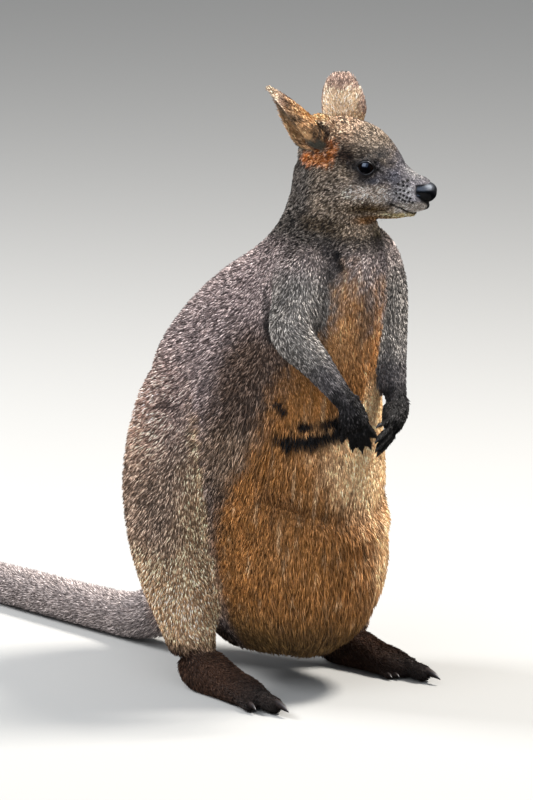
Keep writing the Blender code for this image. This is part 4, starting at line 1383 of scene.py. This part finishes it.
def unwrapped(skin, ears):
    """Places of each hide triangle's corners on a flat unwrap, with the head drawn larger than life."""
    bm = bmesh_of(skin, *ears.values())
    mesh = bpy.data.meshes.new("unwrap")
    bm.to_mesh(mesh)
    bm.free()
    places = places_of(mesh)
    h = to_head(places)
    bigger = ramp(h[:, 2], -0.08, -0.04) * ramp(h[:, 0], -0.07, -0.03)
    places += (places - np.array(NECK_TOP)) * (bigger * 1.4)[:, None]
    set_places(mesh, places)
    thing = add_object("unwrap", mesh)
    bpy.context.view_layer.objects.active = thing
    for other in bpy.context.scene.objects:
        other.select_set(other == thing)
    bpy.ops.object.mode_set(mode="EDIT")
    bpy.ops.mesh.select_all(action="SELECT")
    bpy.ops.uv.smart_project(angle_limit=math.radians(70), island_margin=0.002, scale_to_bounds=True)
    bpy.ops.object.mode_set(mode="OBJECT")
    flat = read(mesh.uv_layers[0].data, "uv", 2)
    bpy.data.objects.remove(thing)
    return flat.reshape(-1, 3, 2)


# ---- the coat ----
TUFT_FACES = np.array([(0, 1, 2), (1, 3, 2), (0, 3, 1), (0, 2, 3)])
PATCH = 0.0030  # width of a tuft's patch on the unwrap
# where a tuft's four corners lie in its patch: base, left, right and tip
PATCH_CORNERS = np.array([(0.0, -0.5), (-0.5, 0.05), (0.5, -0.05), (0.0, 0.5)]) * PATCH
SOFT_SWING, CHANCE_SWING, ROLL = np.radians((11, 8, 28))  # how far tufts turn from the lie of the coat
UNDERFUR = (0.85, 0.75, 1.15, 0.80)  # its length, depth, width and brightness against the guard hair's
DARK_TUFTS, PALE_TUFTS = 0.42, 0.30  # shares of the tufts that the grizzle darkens and brightens
MIDDLE_GRIZZLE = (-0.62, 1.55, 0.0)  # what it adds at the middle of a dark, a pale and a plain tuft
TIP_GRIZZLE = (-0.82, 0.25, -0.40)
BASE_TONE = 0.50
SKIN_SHADE, EAR_SHADE = 0.70, 0.75  # painted shade of the coat's depths: brightness of what lies under the tufts, against theirs
FIRST_SEED = 101


def times(rows, values):
    """Each row multiplied by its own value."""
    return rows * values[:, None]


def spread_roots(rng, hide, triangles, count):
    """Picks a triangle for each tuft, more where the coat is fine, and the shares of its corners."""
    places, _, _, sizes, _, _, bare = hide
    a, b, c = (places[triangles[:, k]] for k in range(3))
    areas = np.linalg.norm(np.cross(b - a, c - a), axis=1) / 2
    size = sizes[triangles].mean(axis=1)
    wanted = areas * (1 - bare[triangles].mean(axis=1)) / (size[:, 0] * size[:, 2]) ** 0.93
    total = np.cumsum(wanted)
    picks = (np.arange(count) + rng.random(count)) / count * total[-1]
    chosen = np.minimum(np.searchsorted(total, picks), len(total) - 1)
    s, t = rng.random(count), rng.random(count)
    over = s + t > 1
    s[over], t[over] = 1 - s[over], 1 - t[over]
    return chosen, np.stack([1 - s - t, s, t], axis=1)[:, :, None]


def tuft_shades(rng, root, way, colour, grey, brightness):
    """Colours of the four corners of each tuft: grizzled ones have dark or pale bands."""
    count = len(root)
    kind = rng.random(count)
    clumped = ramp(root[:, 2], 0.47, 0.50) * 0.8
    shared = speckle(root + way * 0.0004 * rng.normal(size=(count, 1)), 0.0015)
    kind = np.where(rng.random(count) < clumped, shared, kind)
    dark, pale = kind < DARK_TUFTS, kind > 1 - PALE_TUFTS
    middle, tip = (
        1 + grey * np.where(dark, gains[0], np.where(pale, gains[1], gains[2]))
        for gains in (MIDDLE_GRIZZLE, TIP_GRIZZLE)
    )
    vary = (1 + 0.14 * rng.normal(size=count) + 0.10 * ripple(root, 0.030, 0.4)) * brightness
    gains = times(np.stack([np.full(count, BASE_TONE), middle, middle, tip], axis=1), vary)
    shade = colour[:, None, :] * np.clip(gains, 0.05, 3.0)[:, :, None]
    greyed = (np.array([0, 1, 1, 0.6])[None, :] * (pale * grey)[:, None] * 0.25)[:, :, None]
    level = shade.mean(axis=2, keepdims=True) * np.array((1.08, 1.0, 0.88))
    return shade * (1 - greyed) + level * greyed


def mesh_of_tufts(name, corners):
    """One mesh of closed tufts from the places of their corners, and the vertex of each face's corner."""
    count = len(corners)
    mesh = bpy.data.meshes.new(name)
    mesh.vertices.add(count * 4)
    mesh.vertices.foreach_set("co", corners.astype(np.float32).ravel())
    faces = (TUFT_FACES[None] + 4 * np.arange(count)[:, None, None]).reshape(-1, 3)
    mesh.loops.add(faces.size)
    mesh.loops.foreach_set("vertex_index", faces.astype(np.int32).ravel())
    mesh.polygons.add(len(faces))
    mesh.polygons.foreach_set("loop_start", np.arange(0, faces.size, 3, dtype=np.int32))
    mesh.update(calc_edges=True)
    return mesh, faces.ravel()


def tufts(name, hide, triangles, flat, skin_triangles, count, seed):
    """One piece of the coat: thin closed tufts whose roots are spread over the hide."""
    rng = np.random.default_rng(seed)
    places, normals, ways, sizes, colours, grizzle, _ = hide
    longer, deeper, wider, brightness = UNDERFUR if name.startswith("under") else (1.0,) * 4
    chosen, shares = spread_roots(rng, hide, triangles, count)

    def here(values):
        return (values[triangles[chosen]] * shares).sum(axis=1)

    root, normal = here(places), unit(here(normals))
    way = flowing(here(ways), normal)
    length, depth, width = here(sizes).T
    colour, grey = here(colours), here(grizzle[:, None])[:, 0]
    on_skin = chosen < skin_triangles
    showing = (root + times(way, 0.5 * length))[on_skin]
    colour[on_skin], grey[on_skin] = head_markings(showing, *body_markings(showing))
    swing = SOFT_SWING * ripple(root, 0.010, 1.3) + CHANCE_SWING * rng.normal(size=count)
    way = times(way, np.cos(swing)) + times(np.cross(normal, way), np.sin(swing))
    left = np.cross(normal, way)
    length = length * rng.uniform(0.70, 1.15, count) * longer
    depth = depth * rng.uniform(0.55, 1.15, count) * deeper
    width = width * rng.uniform(0.75, 1.2, count) * wider
    roll = ROLL * rng.normal(size=count)
    flat_way = times(left, np.cos(roll)) + times(normal, np.sin(roll))
    middle = root + times(way, 0.45 * length) + times(normal, 0.70 * depth)
    bend = times(left, rng.normal(size=count) * 0.05 * length)
    corners = np.empty((count, 4, 3))
    corners[:, 0] = root - times(normal, 0.10 * depth + 0.0002)
    corners[:, 1] = middle + times(flat_way, 0.5 * width)
    corners[:, 2] = middle - times(flat_way, 0.5 * width)
    corners[:, 3] = root + times(way, length) + times(normal, depth) + bend
    corners[:, :, 2] = np.maximum(corners[:, :, 2], 0.0004)
    mesh, vertices = mesh_of_tufts(name, corners)
    paint(mesh, tuft_shades(rng, root, way, colour, grey, brightness).reshape(-1, 3))
    middles = np.clip((flat[chosen] * shares).sum(axis=1), PATCH, 1 - PATCH)
    patches = (middles[:, None, :] + PATCH_CORNERS[None]).reshape(-1, 2)[vertices]
    mesh.uv_layers.new(name="OFBake").data.foreach_set("uv", patches.astype(np.float32).ravel())
    return add_object(name, mesh)


# ---- eyes, nose, claws and whiskers ----
WET_TINT = (0.72, 0.82, 1.0, 1.0)  # of the shine on the eyes and the nose
RIM_STEPS, RIM_SIDES = 56, 8
WHISKER_SEED = 77


def make_eye(key):
    """A dark glossy ball with a cornea that stands a little proud."""
    centre, gaze, _, _ = eye_frame(SIDES[key])
    turn = (HEAD_TURN @ Vector(gaze)).to_track_quat("Z", "Y").to_matrix().to_4x4()
    bm = bmesh.new()
    bmesh.ops.create_uvsphere(bm, u_segments=48, v_segments=32, radius=EYE_RADIUS)
    for vert in bm.verts:
        lean = math.acos(max(-1.0, min(1.0, vert.co.z / EYE_RADIUS)))
        vert.co *= 1 + 0.045 * math.exp(-((lean / 0.75) ** 4))
    bmesh.ops.transform(bm, matrix=Matrix.Translation(on_head(*centre)) @ turn, verts=bm.verts)
    return piece_from(bm, f"eyeball_{key}")


def eye_finish(key):
    """Nearly black pupil in a deep brown iris, under a clear wet coat."""
    made = finish(f"eye_{key}", 0.04, Specular_IOR_Level=0.6, Specular_Tint=WET_TINT)
    centre, gaze, _, _ = eye_frame(SIDES[key])
    place = node(made, "ShaderNodeTexCoord")
    far = node(made, "ShaderNodeVectorMath")
    far.operation = "DISTANCE"
    far.inputs[1].default_value = on_head(*(centre + gaze * EYE_RADIUS)) - FOOTPRINT_MIDDLE
    linked(made, place.outputs["Object"], far.inputs[0])
    spread = stretched(made, far.outputs["Value"], From_Min=0.0, From_Max=0.012, To_Min=0.0, To_Max=1.0)
    stepped_colour(made, spread, (0.42, (0.0015, 0.0015, 0.002)), (0.60, (0.006, 0.0035, 0.0025)))
    return made


def make_lids(key):
    """The bare dark rim along the edge of the lids, a bent ring."""
    centre, gaze, along_lids, across_lids = (Vector(v) for v in eye_frame(SIDES[key]))
    wide, high = EYE_OPENING

    def on_rim(step):
        """Place and way out of the rim's middle line."""
        turn = 2 * math.pi * step / RIM_STEPS
        share = 0.97 - 0.08 * abs(math.cos(turn)) ** 3
        lean, rise = wide * math.cos(turn) * share, high * math.sin(turn) * share
        way = (gaze + along_lids * math.tan(lean) + across_lids * math.tan(rise)).normalized()
        return HEAD @ (centre + way * (EYE_RADIUS + 0.0006)), HEAD_TURN @ way

    bm = bmesh.new()
    bmesh.ops.create_grid(bm, x_segments=RIM_STEPS, y_segments=RIM_SIDES, size=0.5)
    for vert in bm.verts:
        step = round((vert.co.x + 0.5) * RIM_STEPS)
        turn = 2 * math.pi * round((vert.co.y + 0.5) * RIM_SIDES) / RIM_SIDES
        place, way = on_rim(step)
        across = (on_rim(step + 1)[0] - on_rim(step - 1)[0]).normalized().cross(way).normalized()
        vert.co = place + across * 0.00085 * math.cos(turn) + way * 0.00065 * math.sin(turn)
    bmesh.ops.remove_doubles(bm, verts=bm.verts, dist=1e-6)
    return piece_from(bm, f"lid_rim_{key}")


def make_whiskers():
    """Stiff black hairs that stand out of the whisker spots and over the eyes, and sweep back and down."""
    rng = np.random.default_rng(WHISKER_SEED)
    bm = bmesh.new()
    roots = [(f, 0.0165, u, 0.020 + 0.9 * (0.098 - f)) for row in WHISKER_ROOTS for f, u in metres(row)]
    roots += [(0.058, 0.0245, 0.0215, 0.020), (0.054, 0.0270, 0.0205, 0.016)]
    for side in SIDES.values():
        for forward, out, up, length in roots:
            length *= rng.uniform(0.8, 1.2)
            back = -0.35 + rng.uniform(-0.12, 0.12)
            rise = -0.35 + 9.0 * (up + 0.020) + rng.uniform(-0.12, 0.12)
            way = Vector((back, side, rise)).normalized()
            rows = []
            for share in (0.0, 0.35, 0.7, 1.0):
                bent = Vector((-0.35, 0.0, -0.25)) * length * share * share
                place = HEAD @ (Vector((forward, side * out, up)) + way * length * share + bent)
                radius = 0.00016 * (1 - 0.8 * share)
                rows.append((*place, radius, radius))
            loft(bm, rows, UP, sides=4, step=length / 6)
    return piece_from(bm, "whiskers")


def make_nose():
    """The bare pad: broad and rounded, with a groove down the middle and a comma-shaped nostril each side."""

    def hump_at(x, z, middle_x, wide, middle_z, high):
        return math.exp(-(((x - middle_x) / wide) ** 2 + ((z - middle_z) / high) ** 2))

    bm = bmesh.new()
    bmesh.ops.create_uvsphere(bm, u_segments=120, v_segments=88, radius=1.0)
    for vert in bm.verts:
        x, y, z = vert.co
        groove = math.exp(-((y / 0.09) ** 2)) * max(0.0, x) * max(0.0, min(1.0, 0.35 - z))
        pit = hump_at(x, z, 0.42, 0.30, -0.30, 0.26) * (abs(y) > 0.3)
        slit = hump_at(x, z, -0.05, 0.34, -0.02, 0.13) * (abs(y) > 0.5)
        rim = hump_at(x, z, 0.30, 0.50, 0.28, 0.16) * (abs(y) > 0.3)
        place = Vector([c * r for c, r in zip((x, y * (1 - 0.10 * x), z), NOSE_RADII)]) / boxy(x, y, z)
        sunk = 0.0018 * groove + 0.0058 * pit + 0.0030 * slit - 0.0007 * rim
        vert.co = place - vert.co.normalized() * sunk
    softened(bm, 0.5)
    place = Matrix.Translation(on_head(*NOSE_PLACE)) @ HEAD_TURN.to_4x4()
    bmesh.ops.transform(bm, matrix=place, verts=bm.verts)
    return piece_from(bm, "nose_pad")


def nose_finish():
    made = finish("nose_leather", 0.42, Specular_IOR_Level=0.5, Specular_Tint=WET_TINT)
    cells = pattern(made, "ShaderNodeTexVoronoi", "Distance", Scale=1100.0)
    rough = stretched(made, cells, From_Min=0.0, From_Max=0.8, To_Min=0.36, To_Max=0.52)
    linked(made, rough, shader_of(made).inputs["Roughness"])
    stepped_colour(made, cells, (0.0, tone(17, 17, 20)), (1.0, tone(8, 8, 9)))
    bumped(made, cells, 0.45, 0.0004)
    return made


def claw(bm, root, way, length, radius, side):
    """Adds a curved horn spike that points along way and bends down."""
    rows = []
    for share, width in ((-0.35, 0.62), (0.0, 1.0), (0.3, 0.92), (0.6, 0.66), (0.85, 0.34), (1.0, 0.08)):
        drop = UP * (-0.22 * length * max(share, 0) ** 2)
        rows.append((*(root + way * length * share + drop), radius * width * 0.8, radius * width))
    loft(bm, rows, side, sides=14, step=length / 14)


def hand_claws(bm, key):
    """Adds the claws of a hand, and gives the names of the nodes that they stand for."""
    across = hand_frame(key)[3]
    for k, (_, knuckle, end, radius) in enumerate(finger_ends(key), start=1):
        way = (end - knuckle).normalized()
        claw(bm, end + way * radius * 0.3, way, FINGER_CLAW, radius * 0.62, across)
        yield f"finger_claw_{key}_{k}"


def foot_claws(bm, key):
    """The same for a foot."""
    outward = foot_frame(key)[3]
    for name, root, end, radius, length, claw_radius in toe_ends(key):
        way = Vector((end.x - root.x, end.y - root.y, 0)).normalized()
        claw(bm, end + way * radius * 0.35 + UP * (0.25 * radius), way, length, claw_radius, outward)
        yield f"{name}_claw_{key}"


def claw_finish(name, dark, pale):
    made = finish(name, 0.42, Specular_IOR_Level=0.5, Coat_Weight=0.15, Coat_Roughness=0.3)
    noise = pattern(made, "ShaderNodeTexNoise", "Fac", Scale=420.0, Detail=3.0)
    stepped_colour(made, noise, (0.3, dark), (0.75, pale))
    bumped(made, noise, 0.25, 0.0003)
    return made


# ---- lights, floor and camera ----
CAMERA_TURN, CAMERA_RISE, CAMERA_FAR = math.radians(-40), math.radians(12), 12.0
CAMERA_HALF_HEIGHT = 0.44  # of what the camera sees at the animal


def camera_axes():
    """The camera's ways back, right and up."""
    turn, rise = CAMERA_TURN, CAMERA_RISE
    back = Vector((math.sin(turn) * math.cos(rise), -math.cos(turn) * math.cos(rise), math.sin(rise)))
    right = Vector((math.cos(turn), math.sin(turn), 0.0))
    return back, right, back.cross(right)


def aimed(thing, place, turn):
    thing.location = place
    thing.rotation_mode = "QUATERNION"
    thing.rotation_quaternion = turn


def set_camera():
    back, right, up = camera_axes()
    target = right * 0.00495 + up * 0.2992 - FOOTPRINT_MIDDLE
    lens = bpy.data.cameras.new("camera")
    lens.sensor_width = 36
    lens.lens = lens.sensor_width / 2 * CAMERA_FAR / CAMERA_HALF_HEIGHT
    lens.clip_start, lens.clip_end = 0.1, 100
    thing = add_object("camera", lens)
    aimed(thing, target + back * CAMERA_FAR, (-back).to_track_quat("-Z", "Y"))
    bpy.context.scene.camera = thing


def area_light(name, way, far, size, power, colour, shines=True, lights=True):
    """A soft square light that looks at the animal's middle, placed by the camera's right, up and back."""
    back, right, _ = camera_axes()
    middle = Vector((0, -0.10, 0.33))
    place = middle + (right * way[0] + UP * way[1] + back * way[2]).normalized() * far
    light = bpy.data.lights.new(name, "AREA")
    light.shape, light.size, light.energy, light.color = "SQUARE", size, power, colour
    thing = add_object(name, light)
    thing.visible_glossy, thing.visible_diffuse = shines, lights
    aimed(thing, place, (place - middle).to_track_quat("Z", "Y"))


def set_stage():
    bm = bmesh.new()
    bmesh.ops.create_grid(bm, x_segments=1, y_segments=1, size=30, matrix=Matrix.Translation((0, 0, -0.0002)))
    floor = piece_from(bm, "floor")
    floor.data.materials.append(finish("floor_pale", 0.9, (0.26, 0.257, 0.249)))
    floor.visible_glossy = False
    world = bpy.data.worlds.new("studio")
    bpy.context.scene.world = world
    world.use_nodes = True
    sky = world.node_tree.nodes["Background"].inputs
    sky["Color"].default_value = (0.93, 0.96, 1.0, 1)
    sky["Strength"].default_value = 0.75
    world.cycles_visibility.glossy = False
    area_light("key", (0.80, 1.25, -0.10), 2.6, 0.6, 190, (1.0, 0.96, 0.90))
    area_light("fill", (-0.50, 1.05, 1.0), 2.8, 2.2, 62, (0.93, 0.965, 1.0))
    area_light("rim", (-1.15, 1.0, -0.55), 3.0, 1.0, 190, (0.97, 0.98, 1.0), shines=False)
    area_light("sheen", (-0.25, 1.15, 0.9), 2.9, 4.6, 80, (0.55, 0.72, 1.0), lights=False)
    bpy.context.scene.view_settings.view_transform = "Standard"
    bpy.context.scene.view_settings.look = "None"


BODY_PARTS = ("belly", "chest", "neck", "head", "tail_base", "tail_middle", "tail_end")
LIMB_PARTS = ("upper_arm", "forearm", "hand", "thigh", "shank", "foot")
FLESH_NODES = (*BODY_PARTS, *(f"{name}_{key}" for name in LIMB_PARTS for key in SIDES))


def add_coat(skin, ears):
    """Lays the tufts over the skin and the ears, and finishes them all."""
    hide, triangles = hide_of(skin, ears)
    flat = unwrapped(skin, ears)
    skin_triangles = len(skin.data.polygons)
    under_skin = coat_finish("skin_hide", 0.75, 0.0016, 0.0006)
    hair = coat_finish("coat_hair", 0.62, 0.0012, 0.0002)
    for k, name in enumerate(COAT_PIECES[: None]):
        piece = tufts(name, hide, triangles, flat, skin_triangles, TUFTS_PER_PIECE, FIRST_SEED + k)
        finished(piece, hair, "grey_brown_coat", smooth=False)
    colours = hide[4]  # of the skin's vertices and then of each ear's
    start = len(skin.data.vertices)
    # the skin and the ears under the coat are darkened as painted shade of its depths
    paint(skin.data, colours[:start] * SKIN_SHADE)
    for key, ear in ears.items():
        end = start + len(ear.data.vertices)
        paint(ear.data, colours[start:end] * EAR_SHADE)
        finished(ear, under_skin, "grey_brown_coat", f"ear_{key}")
        start = end
    finished(skin, under_skin, "grey_brown_coat", *FLESH_NODES)


def add_eyes_and_claws():
    dark_horn = claw_finish("claw_dark", tone(14, 12, 12), tone(40, 34, 33))
    brown_horn = claw_finish("claw_horn", tone(18, 15, 15), tone(48, 39, 36))
    rim = finish("lid_rim", 0.3, tone(18, 15, 15), Specular_IOR_Level=0.5)
    for key in SIDES:
        finished(make_eye(key), eye_finish(key), "eye_dark", f"eye_{key}")
        finished(make_lids(key), rim, "nose_leather")
        for name, add_claws, horn in (("hand", hand_claws, dark_horn), ("foot", foot_claws, brown_horn)):
            bm = bmesh.new()
            nodes = list(add_claws(bm, key))
            finished(piece_from(bm, f"{name}_claws_{key}"), horn, "claw_horn", *nodes)


def main():
    set_camera()
    set_stage()
    skin = make_skin()
    add_coat(skin, {key: make_ear(key) for key in SIDES})
    add_eyes_and_claws()
    finished(make_nose(), nose_finish(), "nose_leather", "nose")
    finished(make_whiskers(), finish("whisker_hair", 0.5, tone(24, 20, 19)), "dark_coat")


main()
